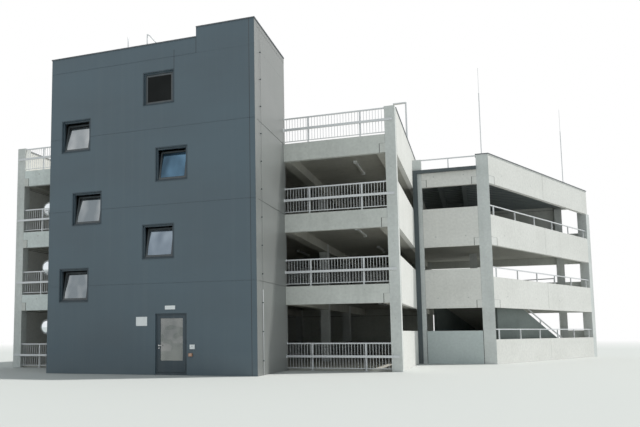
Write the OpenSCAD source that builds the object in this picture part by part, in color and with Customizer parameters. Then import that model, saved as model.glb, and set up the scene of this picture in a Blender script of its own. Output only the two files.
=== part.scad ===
// Multi storey car park: a stair tower in front of open precast decks, with a slanted wing.
// Plan sizes are laid out from the tower's front right corner, then moved to the middle of the site.

/* [Storeys] */
// Top of the ground floor above the lowest ground
ground_floor = 80; // [60:10:200]
// Height of the first deck above the lowest ground
first_deck = 3300; // [3150:50:3600]
// Height from one deck to the next
storey_h = 2900; // [2750:50:3200]
// Thickness of a deck
deck_t = 300; // [240:10:360]

/* [Front block] */
// Left end of the front block, from the tower's right side
block_left = 12950; // [12000:50:14000]
// Right end of the front block, from the tower's right side
block_right = 4440; // [4000:20:5000]
// Distance from the tower's front to the rear face
rear_y = 23000; // [22500:100:24000]
// Side of a square column
col = 400; // [350:10:450]
// Height of the columns and solid parapets above a deck
parapet_h = 1100; // [1000:20:1200]

/* [Wing] */
// Distance from the tower's front to the wing's face
stub_y = 11060; // [10500:20:11600]
// Outer corner of the wing, from the tower's right side
wing_x = 7870; // [7400:10:8400]
// Angle between the slanted face and the side of the block
wing_angle = 26; // [22:1:28]
// Side of the wing's corner column
corner_col = 540; // [450:10:600]
// Side of the column at the far end of the slanted face
far_col = 500; // [400:10:550]
// Length of the rear panels between the car entrance and the far column
end_panel_l = 1040; // [800:20:1400]
// Height of the wing's corner parapet above the top deck
wing_parapet = 650; // [500:10:800]

/* [Panels] */
// Thickness of a facade panel
panel_t = 200; // [160:10:240]
// Depth of a panel below the deck
panel_drop = 730; // [650:10:800]
// Depth of a front beam
beam_h = 720; // [600:10:760]
// Depth of the beams under a deck, measured from the deck's top
deck_beam_h = 700; // [600:10:720]
// Width of the beams under a deck
deck_beam_w = 400; // [300:10:400]
// Width of the beams along the side panels
edge_beam_w = 560; // [300:10:600]
// Height of a slanted face panel above the deck
low_panel = 680; // [600:10:800]
// Height of a ground storey panel
ground_panel = 1520; // [1300:20:1700]
// Height of a slanted face ground panel
low_ground_panel = 1110; // [1000:10:1200]
// Height of the bearing ledge under a panel end
corbel_h = 360; // [300:10:400]
// Length of the bearing ledge
corbel_l = 220; // [180:10:300]
// Open joint between two panels
joint_gap = 20; // [10:1:30]
// Height of the metal coping on the panels and on the tower
coping_t = 40; // [20:5:60]
// How far a coping reaches past its wall
coping_over = 25; // [10:5:40]

/* [Stair tower] */
// Width of the tower
tower_w = 8500; // [8000:50:9000]
// Depth of the tower, as far as the backs of the front beams
tower_d = 4000; // [3800:50:4300]
// Height of the tower's lower part
tower_h = 12400; // [12000:50:12800]
// Extra height of the raised right part
raised_h = 380; // [200:10:600]
// Width of the raised right part
raised_w = 2260; // [2000:10:2600]
// Thickness of a tower wall
wall_t = 250; // [200:10:300]
// Width of a window and of the entrance
win_w = 1240; // [1100:10:1300]
// Height of a window
win_h = 1250; // [1100:10:1300]
// Width of a window frame bar
win_bar = 60; // [40:5:80]
// How far a tilted sash leans in, in degrees
sash_tilt = 12; // [5:1:16]
// Width of a seam in the cladding
seam_w = 24; // [10:1:30]
// Depth of a seam
seam_d = 15; // [5:1:20]
// Distance from the left wall's outside to the lowest window
win_inset = 530; // [400:10:700]

/* [Entrance door] */
// Height of the door opening
door_h = 2200; // [2100:10:2300]
// Thickness of the door leaf
leaf_t = 60; // [50:2:70]
// Gap around the door leaf
leaf_gap = 6; // [6:1:10]
// Width of the leaf's side bars
leaf_bar = 110; // [90:5:140]
// Height of the leaf's bottom panel
kick_h = 420; // [300:10:500]

/* [Railings] */
// Height of a railing above its deck
rail_h = 1080; // [1000:10:1150]
// Width of a rail and of a post
rail_w = 50; // [40:5:60]
// Distance between balusters
baluster_gap = 115; // [100:5:125]
// Width of a baluster
baluster_w = 16; // [12:1:20]
// Distance between railing posts in the front bays
post_gap = 2080; // [1900:20:2200]
// Height of the crash rail's middle above its deck
crash_z = 560; // [450:10:620]
// Height of the crash rail
crash_h = 90; // [60:10:160]

/* [Ramp] */
// Width of the ramp between its walls
ramp_w = 3000; // [2800:50:3200]
// Start of the ramp's slope along the slanted face
ramp_top = 1200; // [900:50:1600]
// Foot of the ramp's slope along the slanted face
ramp_end = 10500; // [10000:100:10800]
// Thickness of the ramp
ramp_t = 250; // [200:10:300]
// Height of the ramp's side walls above its surface
ramp_wall = 300; // [200:20:600]

/* [Hidden] */

levels = [ground_floor, first_deck, first_deck + storey_h, first_deck + 2 * storey_h];
top_deck = levels[3];
soffit = top_deck - deck_t;
wing_top = top_deck + wing_parapet;
front_y = tower_d - panel_t;

// Clearance of pieces that seat on a slanted face, a sloping face or a long wall's top
seat = 0.3;

slant_corbel_in = 10;
slant_corbel = 550;

// The top slanted panel stops short of the far column's end, which is thinner beside it
far_setback = 290;
far_upper = 200;
wing_len = (rear_y - stub_y - far_col * sin(wing_angle)) / cos(wing_angle);

// The middle of the footprint is the origin
mid_x = (wing_tip()[0] - block_left) / 2;
mid_y = rear_y / 2;

// Column rows
row_1 = stub_y + col / 2;
row_3 = rear_y - col / 2;
row_2 = (row_1 + row_3) / 2;
left_x = -block_left + col / 2;
right_x = block_right - col / 2;
bay_x = (right_x - left_x) / 4;
entrance_col_x = round(slant(wing_len, far_col)[0] - end_panel_l - col / 2);

// Points of the slanted face, at a distance along it and behind it
function slant(s, e) = [wing_x + s * sin(wing_angle) - e * cos(wing_angle),
                        stub_y + s * cos(wing_angle) + e * sin(wing_angle)];
function wing_tip() = slant(wing_len, 0);
// X of the line that runs behind the slanted face at depth e, at a given Y
function slant_x(y, e) = wing_x + (y - stub_y - e * sin(wing_angle)) * tan(wing_angle)
                         - e * cos(wing_angle);

module site() {
    translate([-mid_x, -mid_y, 0]) children();
}

module block(x0, x1, y0, y1, z0, z1) {
    translate([x0, y0, z0]) cube([x1 - x0, y1 - y0, z1 - z0]);
}

// Children drawn along the slanted face: X runs along it and Y behind it
module along_slant() {
    translate([wing_x, stub_y, 0]) rotate([0, 0, 90 - wing_angle]) children();
}

module column(x, y, h) {
    block(x - col / 2, x + col / 2, y - col / 2, y + col / 2, 0, h);
}

function rim_points() = [[left_x, row_1], [left_x, row_2], [left_x, row_3],
                         [left_x + 2 * bay_x, row_3], [right_x, row_3],
                         [entrance_col_x, row_3]];
function inner_points() = concat(
    [for (y = [row_1, row_2], i = [1:3]) [left_x + i * bay_x, y]],
    [[right_x, row_2], slant(wing_len / 2, ramp_in + ramp_outer + col)]);

module front_columns_solid() {
    for (x = [left_x, right_x]) column(x, front_y + col / 2, top_deck + parapet_h);
    for (i = [1:3]) {
        block(right_x - col / 2 - corbel_l, right_x - col / 2, front_y, front_y + panel_t,
              levels[i] - beam_h, levels[i] - beam_h + corbel_h);
        block(left_x + col / 2, left_x + col / 2 + corbel_l, front_y, front_y + panel_t,
              levels[i] - beam_h, levels[i] - beam_h + corbel_h);
    }
}

module rim_columns_solid() {
    for (p = rim_points()) column(p[0], p[1], p[0] < right_x + 1 ? top_deck + parapet_h : soffit);
}

module inner_columns_solid() {
    for (p = inner_points()) column(p[0], p[1], p[0] > right_x + 1 ? levels[2] - deck_t : soffit);
}

module wing_columns_solid() {
    block(block_right, block_right + col, stub_y, stub_y + col, 0, wing_top);
    block(wing_x - corner_col, wing_x, stub_y, stub_y + corner_col, 0, wing_top);
    for (i = [1:3]) {
        z = levels[i] - panel_drop;
        block(wing_x - corner_col - corbel_l, wing_x - corner_col, stub_y, stub_y + panel_t,
              z, z + corbel_h);
        along_slant() block(slant_corbel_in, slant_corbel, 0, panel_t, z, z + corbel_h);
    }
    block(block_right + col, block_right + col + corbel_l, stub_y, stub_y + panel_t,
          top_deck - panel_drop, top_deck - panel_drop + corbel_h);
    along_slant() {
        block(wing_len - far_col, wing_len, 0, far_col, 0, top_deck - panel_drop);
        block(wing_len - far_col, wing_len - far_setback, panel_t + seat, far_col,
              top_deck - panel_drop - 1, wing_top);
        block(wing_len - far_setback - 1, wing_len, far_col - far_upper, far_col,
              top_deck - panel_drop - 1, wing_top);
    }
}

// Holes for the columns that pass a deck
module column_holes() {
    front_columns_solid();
    rim_columns_solid();
    inner_columns_solid();
    wing_columns_solid();
}

// The front block's floor outline
module block_plate(z, t) {
    difference() {
        block(-block_left + panel_t, block_right - panel_t, tower_d, rear_y - panel_t, z - t, z);
        column_holes();
    }
}

// The wing's floor outline
module wing_plate(z, t) {
    y0 = stub_y + panel_t;
    y1 = rear_y - panel_t;
    e = panel_t + seat;
    difference() {
        translate([0, 0, z - t]) linear_extrude(t)
            polygon([[block_right - panel_t, y0], [slant_x(y0, e), y0],
                     [slant_x(y1, e), y1], [block_right - panel_t, y1]]);
        column_holes();
    }
}

module ground_slab() { color("darkgray") site() block_plate(ground_floor, ground_floor); }
module wing_ground_slab() { color("darkgray") site() wing_plate(ground_floor, ground_floor); }
module deck_1() { color("darkgray") site() block_plate(levels[1], deck_t); }
module deck_2() { color("darkgray") site() block_plate(levels[2], deck_t); }
module deck_3() { color("darkgray") site() block_plate(levels[3], deck_t); }
module wing_deck_2() { color("darkgray") site() wing_plate(levels[2], deck_t); }

fascia_top = top_deck - 50;
slanted_post_gap = 2320;

// Ramp: rise, run and place along the slanted face
ramp_in = panel_t + 250;
ramp_wall_t = 150;
ramp_outer = ramp_w + 2 * ramp_wall_t;
ramp_run = ramp_end - ramp_top;
ramp_foot = ground_floor + seat;
ramp_rise = first_deck - ground_floor;
headroom = 2200;
hole_end = ramp_top + ramp_run * (deck_t + headroom) / ramp_rise;

module wing_deck_1() {
    color("darkgray") site() difference() {
        wing_plate(levels[1], deck_t);
        along_slant() block(ramp_top - seat, hole_end, ramp_in - seat,
                            ramp_in + ramp_outer + seat, levels[1] - deck_t - 1, levels[1] + 1);
    }
}

module front_columns() { color("silver") site() front_columns_solid(); }
module inner_columns() { color("silver") site() inner_columns_solid(); }
module rim_columns() { color("silver") site() rim_columns_solid(); }
module wing_columns() { color("silver") site() wing_columns_solid(); }

// Beams from front to rear under each deck: one on each inner column line, one along each side
module deck_beams() {
    w = deck_beam_w / 2;
    y0 = front_y + panel_t;
    y1 = rear_y - panel_t;
    color("darkgray") site() difference() {
        for (i = [1:3]) {
            z0 = levels[i] - deck_beam_h;
            z1 = levels[i] - deck_t;
            for (k = [1:3]) block(left_x + k * bay_x - w, left_x + k * bay_x + w, y0, y1, z0, z1);
            block(-block_left + panel_t, -block_left + panel_t + edge_beam_w, y0, y1, z0, z1);
            block(block_right - panel_t - edge_beam_w, block_right - panel_t, y0, y1, z0, z1);
        }
        for (p = inner_points()) column(p[0], p[1], soffit);
        front_columns_solid();
        rim_columns_solid();
        translate([-tower_w, 0, 0]) cube([tower_w, tower_d, tower_h]);
    }
}

// Front beams, notched over the ledges of the front columns
module front_beam(x0, x1, level) {
    block(x0, x1, front_y, front_y + panel_t, level - beam_h, level);
}

module front_beams() {
    color("lightgray") site() difference() {
        for (i = [1:3]) {
            front_beam(0, right_x - col / 2, levels[i]);
            front_beam(left_x + col / 2, -tower_w, levels[i]);
        }
        front_columns_solid();
    }
}

module right_side_panels() {
    x0 = block_right - panel_t;
    y0 = front_y + col;
    y1 = stub_y + panel_t;
    color("gainsboro") site() {
        block(x0, block_right, y0, y1, 0, ground_panel);
        for (i = [1:2])
            block(x0, block_right, y0, y1, levels[i] - panel_drop, levels[i] + parapet_h);
        difference() {
            block(x0, block_right, y0, rear_y - col, levels[3] - panel_drop, levels[3] + parapet_h);
            rim_columns_solid();
            inner_columns_solid();
            wing_columns_solid();
        }
    }
}

// Top of the closed wall under a deck's panel, with an open joint between them
function wall_end(i) = levels[i] - panel_drop - joint_gap;

// The left side is closed up to the top deck, as seen through its first bay
module left_side_panels() {
    x0 = -block_left;
    ys = [[front_y + col, row_1 - col / 2], [row_1 + col / 2, row_2 - col / 2],
          [row_2 + col / 2, row_3 - col / 2]];
    color("gainsboro") site() for (y = ys) {
        block(x0, x0 + panel_t, y[0], y[1], 0, wall_end(1));
        for (i = [1:3])
            block(x0, x0 + panel_t, y[0], y[1], levels[i] - panel_drop,
                  i < 3 ? wall_end(i + 1) : levels[i] + parapet_h);
    }
}

// The rear is closed where no daylight shows through the storeys: in the block up to deck 2, and in
// the wing under its roof as far as the car entrance's column
module rear_panels() {
    y0 = rear_y - panel_t;
    xs = [[left_x + col / 2, left_x + 2 * bay_x - col / 2],
          [left_x + 2 * bay_x + col / 2, right_x - col / 2]];
    zs = [[0, wall_end(1)],
          [levels[1] - panel_drop, wall_end(2)],
          [levels[2] - panel_drop, levels[2] + parapet_h],
          [levels[3] - panel_drop, levels[3] + parapet_h]];
    wing_xs = [[right_x + col / 2, entrance_col_x - col / 2],
               [entrance_col_x + col / 2, slant(wing_len, far_col)[0]]];
    color("gainsboro") site() {
        for (x = xs, z = zs) block(x[0], x[1], y0, rear_y, z[0], z[1]);
        difference() {
            union() {
                block(wing_xs[1][0], wing_xs[1][1], y0, rear_y, 0, ground_panel);
                for (k = [0, 1], i = [1:2])
                    block(wing_xs[k][0], wing_xs[k][1], y0, rear_y, levels[i] - panel_drop,
                          k == 0 && i == 2 ? soffit - joint_gap : levels[i] + parapet_h);
                block(wing_xs[0][0], wing_xs[1][1], y0, rear_y, soffit, wing_top);
            }
            wing_columns_solid();
        }
    }
}

// Panels of the wing's front face, notched over the ledges of the columns beside them
module stub_panels() {
    x0 = block_right + col;
    x1 = wing_x - corner_col;
    color("lightgray") site() difference() {
        union() {
            block(x0, x1, stub_y, stub_y + panel_t, 0, ground_panel);
            for (i = [1:3])
                block(x0, x1, stub_y, stub_y + panel_t, levels[i] - panel_drop,
                      i < 3 ? levels[i] + parapet_h : fascia_top);
        }
        wing_columns_solid();
    }
}

// Panels of the slanted face in two lengths, the top row carried on over part of the far column
module slanted_panels() {
    half = (wing_len - far_col) / 2;
    spans = [[0, half - joint_gap / 2], [half + joint_gap / 2, 2 * half]];
    color("whitesmoke") site() difference() {
        along_slant() {
            for (s = spans) {
                block(s[0], s[1], 0, panel_t, 0, low_ground_panel);
                for (i = [1:2])
                    block(s[0], s[1], 0, panel_t, levels[i] - panel_drop, levels[i] + low_panel);
            }
            block(0, spans[0][1], 0, panel_t, top_deck - panel_drop, wing_top);
            block(spans[1][0], wing_len - far_setback, 0, panel_t,
                  top_deck - panel_drop + seat, wing_top);
        }
        wing_columns_solid();
    }
}

// A strip of folded metal on top of a wall
module coping(x0, x1, y0, y1, z) {
    block(x0, x1, y0, y1, z + seat, z + coping_t);
}

module block_copings() {
    o = coping_over;
    t = panel_t + o;
    z = top_deck + parapet_h;
    coping(block_right - t, block_right + o, front_y + col, rear_y + o, z);
    coping(-block_left - o, -block_left + t, front_y + col, rear_y + o, z);
    coping(-block_left - o, block_right + o, rear_y - t, rear_y + o, z);
}

// The wing's copings: the slanted face, a cap on each corner column, and the rear
module wing_copings() {
    o = coping_over;
    t = panel_t + o;
    coping(wing_x - corner_col - o, wing_x + o, stub_y - o, stub_y + corner_col + o, wing_top);
    along_slant() {
        coping(0, wing_len - far_setback + o, -o, t, wing_top);
        coping(wing_len - far_col - o, wing_len + o, far_col - far_upper - o, far_col + o, wing_top);
    }
    coping(block_right, slant(wing_len, far_col)[0], rear_y - t, rear_y + o, wing_top);
}

module tower_copings() {
    o = coping_over;
    w = wall_t + coping_over;
    top = tower_h + raised_h;
    coping(-tower_w - o, -raised_w, -o, w, tower_h);
    coping(-tower_w - o, -tower_w + w, w - 1, tower_d, tower_h);
    coping(-tower_w + wall_t, -raised_w, tower_d - w, tower_d, tower_h);
    coping(-raised_w, o, -o, w, top);
    coping(-w, o, w - 1, tower_d, top);
    coping(-raised_w, -w + 1, tower_d - w, tower_d, top);
}

module copings() {
    color("dimgray") site() {
        block_copings();
        wing_copings();
        tower_copings();
    }
}

// Trapezoidal roof sheet over the wing, with its ribs along X
rib_pitch = 500;
rib_h = 100;
sheet_t = 20;
roof_z = top_deck - 150;
roof_beam_h = 300;
roof_beam_w = 200;
steel_t = 20;
roof_beam_gap = (wing_x - block_right) / 3;

function sheet_line(y0, n) = [for (i = [0:n - 1], k = [0:3])
    [y0 + i * rib_pitch + [0, 0.1, 0.5, 0.6][k] * rib_pitch, [0, rib_h, rib_h, 0][k]]];

module roof_area(z0, z1, inset) {
    y0 = stub_y + panel_t;
    y1 = rear_y - panel_t;
    translate([0, 0, z0]) linear_extrude(z1 - z0)
        polygon([[block_right, y0], [slant_x(y0, inset), y0],
                 [slant_x(y1, inset), y1], [block_right, y1]]);
}

module roof_sheet() {
    y0 = stub_y + panel_t;
    n = floor((rear_y - panel_t - y0) / rib_pitch);
    line = sheet_line(y0, n + 1);
    last = len(line) - 1;
    color("dimgray") site() difference() {
        intersection() {
            roof_area(roof_z - 1, roof_z + rib_h + sheet_t + 1, panel_t + seat);
            translate([block_right, 0, roof_z]) rotate([90, 0, 90])
                linear_extrude(wing_tip()[0] - block_right)
                polygon(concat(line, [for (i = [last:-1:0]) [line[i][0], line[i][1] + sheet_t]]));
        }
        column_holes();
    }
}

// Steel beams that carry the roof sheet
module roof_beams() {
    z = roof_z - roof_beam_h;
    color("dimgray") site() intersection() {
        roof_area(z, roof_z, panel_t + seat);
        for (k = [1:2]) {
            x = block_right + k * roof_beam_gap;
            w = roof_beam_w / 2;
            block(x - w, x + w, stub_y, rear_y, roof_z - steel_t, roof_z);
            block(x - steel_t / 2, x + steel_t / 2, stub_y, rear_y, z, roof_z);
            block(x - w, x + w, stub_y, rear_y, z, z + steel_t);
        }
    }
}

gutter_w = 170;
gutter_h = 150;
gutter_t = 5;
pipe_w = 210;
pipe_depth = 150;
// A gutter on the wing's front and a flat downpipe in the corner beside the block
module gutter_and_downpipe() {
    x0 = block_right;
    x1 = wing_x - corner_col;
    z = fascia_top;
    y0 = stub_y - gutter_w;
    color("slategray") site() {
        difference() {
            block(x0, x1, y0, stub_y, z, z + gutter_h);
            block(x0 + gutter_t, x1 - gutter_t, y0 + gutter_t, stub_y - gutter_t,
                  z + gutter_t, z + gutter_h + 1);
        }
        block(x0, x0 + pipe_w, stub_y - pipe_depth, stub_y, 0, z + 1);
    }
}

// The lowest railings stand on the ground, the others on the front beams
rail_bases = [0, levels[1], levels[2], levels[3]];
rail_y = front_y + panel_t / 2;
end_post = 960;
low_bar = 30;
low_bar_z = 90;

// A railing panel from a column to the tower, drawn along X from the column
module railing(w) {
    r = rail_w / 2;
    b = baluster_w / 2;
    n = floor(w / baluster_gap);
    top = rail_h - rail_w;
    block(0, w, -r, r, top, rail_h);
    block(0, w, -low_bar / 2, low_bar / 2, low_bar_z, low_bar_z + low_bar);
    for (x = [end_post:post_gap:w - rail_w]) block(x - r, x + r, -r, r, 0, top + 1);
    for (i = [1:n - 1])
        translate([i * w / n, 0, 0]) block(-b, b, -b, b, low_bar_z + low_bar - 1, top + 1);
}

module front_railings() {
    r1 = right_x - col / 2;
    l0 = left_x + col / 2;
    color("silver") site() for (z = rail_bases) {
        translate([r1, rail_y, z]) mirror([1, 0, 0]) railing(r1);
        translate([l0, rail_y, z]) railing(-tower_w - l0);
    }
}

// Crash rails on the outside of the front columns
crash_d = 60;
module crash_rails() {
    y0 = front_y - crash_d;
    color("gainsboro") site() for (base = rail_bases) {
        z = base + crash_z - crash_h / 2;
        block(0, right_x + col / 4, y0, front_y, z, z + crash_h);
        block(left_x - col / 4, -tower_w, y0, front_y, z, z + crash_h);
    }
}

// A handrail on the slanted panels, from the corner column to the far column
first_post = 530;
module slanted_handrail(base, top) {
    s1 = wing_len - far_col;
    y = panel_t / 2;
    r = rail_w / 2;
    block(0, s1, y - r, y + r, top - rail_w, top);
    for (s = [first_post:slanted_post_gap:s1])
        block(s - r, s + r, y - r, y + r, base, top - rail_w + 1);
}

// A rail along the top of the ramp's outer wall, on posts
ramp_rail_up = 250;
function wall_top(s) = first_deck - (first_deck - ramp_foot) * (s - ramp_top) / ramp_run + ramp_wall;
module ramp_rail() {
    r = rail_w / 2;
    z = ramp_rail_up;
    translate([0, ramp_in + ramp_wall_t / 2 + r, 0]) rotate([90, 0, 0]) linear_extrude(rail_w) {
        polygon([[ramp_top, wall_top(ramp_top) + z], [ramp_end, wall_top(ramp_end) + z],
                 [ramp_end, wall_top(ramp_end) + z + rail_w],
                 [ramp_top, wall_top(ramp_top) + z + rail_w]]);
        for (s = [ramp_top + first_post:slanted_post_gap:ramp_end - r])
            polygon([[s - r, wall_top(s - r) + seat], [s + r, wall_top(s + r) + seat],
                     [s + r, wall_top(s + r) + z + 1], [s - r, wall_top(s - r) + z + 1]]);
    }
}

// A rail with two bars and a post at each end and in the middle, drawn along X
module guard_panel(w) {
    r = rail_w / 2;
    for (z = [rail_h / 2, rail_h - rail_w]) block(0, w, -r, r, z, z + rail_w);
    for (x = [r, w / 2, w - r]) block(x - r, x + r, -r, r, 0, rail_h - 1);
}

// Guard rails beside and at the end of the opening over the ramp, apart at their corner
module ramp_guard() {
    r = rail_w / 2;
    y = ramp_in + ramp_outer + r + seat;
    z = levels[1] + seat;
    translate([ramp_top, y, z]) guard_panel(hole_end - ramp_top - rail_w);
    translate([hole_end + r + seat, ramp_in, z]) rotate([0, 0, 90]) guard_panel(ramp_outer);
}

// Handrails on the slanted face, the ramp's wall and the wing's roof edge, and the guard over the ramp
handrail_up = 490;
module handrails() {
    y = stub_y + panel_t / 2;
    r = rail_w / 2;
    x0 = block_right + col;
    x1 = wing_x - corner_col;
    middle = (x0 + x1) / 2;
    color("silver") site() {
        difference() {
            along_slant() {
                slanted_handrail(low_ground_panel, low_ground_panel + handrail_up);
                for (i = [1:2])
                    slanted_handrail(levels[i] + low_panel, levels[i] + low_panel + handrail_up);
            }
            wing_columns_solid();
        }
        along_slant() {
            ramp_rail();
            ramp_guard();
        }
        block(x0, x1, y - r, y + r, wing_top - rail_w, wing_top);
        block(middle - r, middle + r, y - r, y + r, fascia_top, wing_top - 1);
    }
}

// How far the ramp's underside meets the floor before its foot
ramp_toe = ramp_run * ramp_t / ramp_rise;

module ramp() {
    color("darkgray") site() along_slant()
        translate([0, ramp_in + ramp_wall_t + ramp_w, 0]) rotate([90, 0, 0]) linear_extrude(ramp_w)
            polygon([[ramp_top, first_deck], [ramp_end, ramp_foot],
                     [ramp_end - ramp_toe, ramp_foot], [ramp_top, first_deck - ramp_t]]);
}

// A side wall of the ramp, standing on the floor
module ramp_wall_at(y) {
    translate([0, y + ramp_wall_t, 0]) rotate([90, 0, 0]) linear_extrude(ramp_wall_t)
        polygon([[ramp_top, first_deck + ramp_wall], [ramp_end, ramp_foot + ramp_wall],
                 [ramp_end, ramp_foot], [ramp_top, ramp_foot]]);
}

module ramp_walls() {
    color("lightgray") site() along_slant() {
        ramp_wall_at(ramp_in);
        ramp_wall_at(ramp_in + ramp_wall_t + ramp_w);
    }
}

// Round convex mirrors behind the railings of the left bay, each on a post on its floor
mirror_in = 1110;
mirror_d = 660;
mirror_dome = 50;
mirror_rim = 25;
mirror_back = 400;
mirror_arm = 130;
mirror_tube = 40;
mirror_ball = (pow(mirror_d / 2, 2) + pow(mirror_dome, 2)) / (2 * mirror_dome);
mirror_ups = [1750, 1260, 1090];

function dome_z(r) = sqrt(pow(mirror_ball, 2) - pow(r, 2)) - mirror_ball + mirror_dome;

module traffic_mirror(up) {
    r = mirror_d / 2;
    steps = 8;
    translate([0, 0, up]) rotate([90, 0, 0]) {
        rotate_extrude($fn = 48)
            polygon(concat([[0, -mirror_rim], [r, -mirror_rim]],
                           [for (k = [steps:-1:0]) [r * k / steps, dome_z(r * k / steps)]]));
        translate([0, 0, -mirror_arm])
            cylinder(d = mirror_tube, h = mirror_arm - mirror_rim + 1, $fn = 24);
    }
    translate([0, mirror_arm, 0]) cylinder(d = mirror_tube, h = up + mirror_tube / 2, $fn = 24);
}

module traffic_mirrors() {
    color("white") site() for (i = [0:2])
        translate([left_x + col / 2 + mirror_in, front_y + mirror_back, levels[i]])
            traffic_mirror(mirror_ups[i]);
}

// Slim light fittings under the decks, in the middle between two rows, with a cap at each end
light_x = 1990;
light_l = 2400;
light_w = 100;
light_h = 80;
cap_l = 160;
cap_over = 20;
module soffit_light() {
    w = light_w / 2;
    block(-w, w, 0, light_l, -light_h, 0);
    for (y = [0, light_l - cap_l])
        block(-w - cap_over, w + cap_over, y, y + cap_l, -light_h - cap_over, 0);
}

module soffit_lights() {
    rows = [front_y, row_1, row_2, row_3];
    color("white") site() for (i = [1:3], k = [0:3], j = [0:2])
        translate([block_right - light_x - k * bay_x, (rows[j] + rows[j + 1] - light_l) / 2,
                   levels[i] - deck_t])
            soffit_light();
}

// Lamp on the top deck
lamp_x = 340;
lamp_y = 12600;
lamp_h = 4100;
lamp_arm = 640;
lamp_arm_w = 120;
lamp_arm_t = 60;
lamp_foot = 220;
lamp_foot_t = 20;
module deck_lamp() {
    color("gray") site() translate([block_right - lamp_x, lamp_y, top_deck]) {
        translate([-lamp_foot / 2, -lamp_foot / 2, 0]) cube([lamp_foot, lamp_foot, lamp_foot_t]);
        translate([0, 0, lamp_foot_t - 1])
            cylinder(d1 = 110, d2 = 80, h = lamp_h - lamp_foot_t + 1, $fn = 64);
        translate([-lamp_arm, -lamp_arm_w / 2, lamp_h - lamp_arm_t])
            cube([lamp_arm, lamp_arm_w, lamp_arm_t]);
    }
}

// Lightning rods on the wing: a thick lower tube and a thin upper rod
rod_h = 4250;
rod_tube_h = 3000;
rod_s = 9500;
rod_foot_d = 160;
rod_foot_h = 60;
rod_tube_d = 42;
rod_d = 16;
module lightning_rod() {
    cylinder(d = rod_foot_d, h = rod_foot_h, $fn = 32);
    cylinder(d = rod_tube_d, h = rod_tube_h, $fn = 24);
    cylinder(d = rod_d, h = rod_h, $fn = 16);
}

module lightning_rods() {
    z = wing_top + coping_t;
    color("silver") site() {
        translate([wing_x - corner_col / 2, stub_y + corner_col / 2, z]) lightning_rod();
        along_slant() translate([rod_s, panel_t / 2, z]) lightning_rod();
    }
}

// Windows: left edge and sill of each, left row at the half landings and right row at the floors
shift = 530;
left_win = -tower_w + win_inset;
right_win = -4410;
half_sill = 560;
sill = 920;
windows = [[left_win, levels[1] - half_sill - 30], [left_win + shift, levels[2] - half_sill + 10],
           [left_win, levels[3] - half_sill + 20], [right_win, levels[1] + sill],
           [right_win + shift, levels[2] + sill - 20], [right_win, levels[3] + sill + 30]];
door_x0 = right_win + shift;
door_x1 = door_x0 + win_w;
low_wall = door_h;

// Seams of the cladding run round the tower at each deck and near the top
top_seam = 600;
module seams() {
    for (z = [levels[1], levels[2], levels[3], tower_h - top_seam]) difference() {
        block(-tower_w - 1, 1, -1, tower_d + 1, z - seam_w / 2, z + seam_w / 2);
        block(-tower_w + seam_d, -seam_d, seam_d, tower_d + 2, z - seam_w, z + seam_w);
    }
}

module tower_front_wall() {
    color("slategray") site() difference() {
        union() {
            block(-tower_w, 0, 0, wall_t, low_wall, tower_h);
            block(-raised_w, 0, 0, wall_t, tower_h - 1, tower_h + raised_h);
        }
        for (w = windows) block(w[0], w[0] + win_w, -1, wall_t + 1, w[1], w[1] + win_h);
        seams();
    }
}

module tower_front_left() {
    color("slategray") site() block(-tower_w, door_x0, 0, wall_t, 0, low_wall);
}

module tower_front_right() {
    color("slategray") site() block(door_x1, 0, 0, wall_t, 0, low_wall);
}

module tower_side_walls() {
    color("slategray") site() difference() {
        union() {
            block(-tower_w, -tower_w + wall_t, wall_t, tower_d, 0, tower_h);
            block(-wall_t, 0, wall_t, tower_d, 0, tower_h + raised_h);
        }
        seams();
    }
}

deck_door_w = 1010;
deck_door_h = 2130;
deck_door_x = -2400;

module tower_rear_wall() {
    color("slategray") site() difference() {
        union() {
            block(-tower_w + wall_t, -wall_t, tower_d - wall_t, tower_d, 0, tower_h);
            block(-raised_w, -wall_t, tower_d - wall_t, tower_d, tower_h - 1, tower_h + raised_h);
        }
        for (z = levels)
            block(deck_door_x, deck_door_x + deck_door_w, tower_d - wall_t - 1, tower_d + 1,
                  z, z + deck_door_h);
    }
}

module deck_doors() {
    color("gray") site() for (z = levels)
        block(deck_door_x, deck_door_x + deck_door_w, tower_d - 160, tower_d - 100,
              z, z + deck_door_h);
}

// The tower's floors: the hall, the deck landings at the right and the half landings at the left
landing_t = 200;
landing_w = 4750;
half_landing_w = 2150;
half_drop = 1500;
module tower_floors() {
    y1 = tower_d - wall_t;
    x0 = -tower_w + wall_t;
    color("darkgray") site() {
        block(x0, -wall_t, wall_t, y1, 0, ground_floor);
        for (i = [1:3]) {
            half = levels[i] - half_drop;
            block(-wall_t - landing_w, -wall_t, wall_t, y1, levels[i] - landing_t, levels[i]);
            block(x0, x0 + half_landing_w, wall_t, y1, half - landing_t, half);
        }
    }
}

// The tower's roof lies below the tops of its walls
roof_drop = 250;
tower_roof_t = 250;
module tower_roof() {
    z = tower_h - roof_drop;
    color("gray") site()
        block(-tower_w + wall_t, -wall_t, wall_t, tower_d - wall_t, z - tower_roof_t, z);
}

module ring(w, h, bar, t) {
    rotate([90, 0, 0]) translate([0, 0, -t]) linear_extrude(t) difference() {
        square([w, h]);
        translate([bar, bar]) square([w - 2 * bar, h - 2 * bar]);
    }
}

module window_frames() {
    color("darkslategray") site() for (w = windows)
        translate([w[0], 60, w[1]]) ring(win_w, win_h, win_bar, 80);
}

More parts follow.
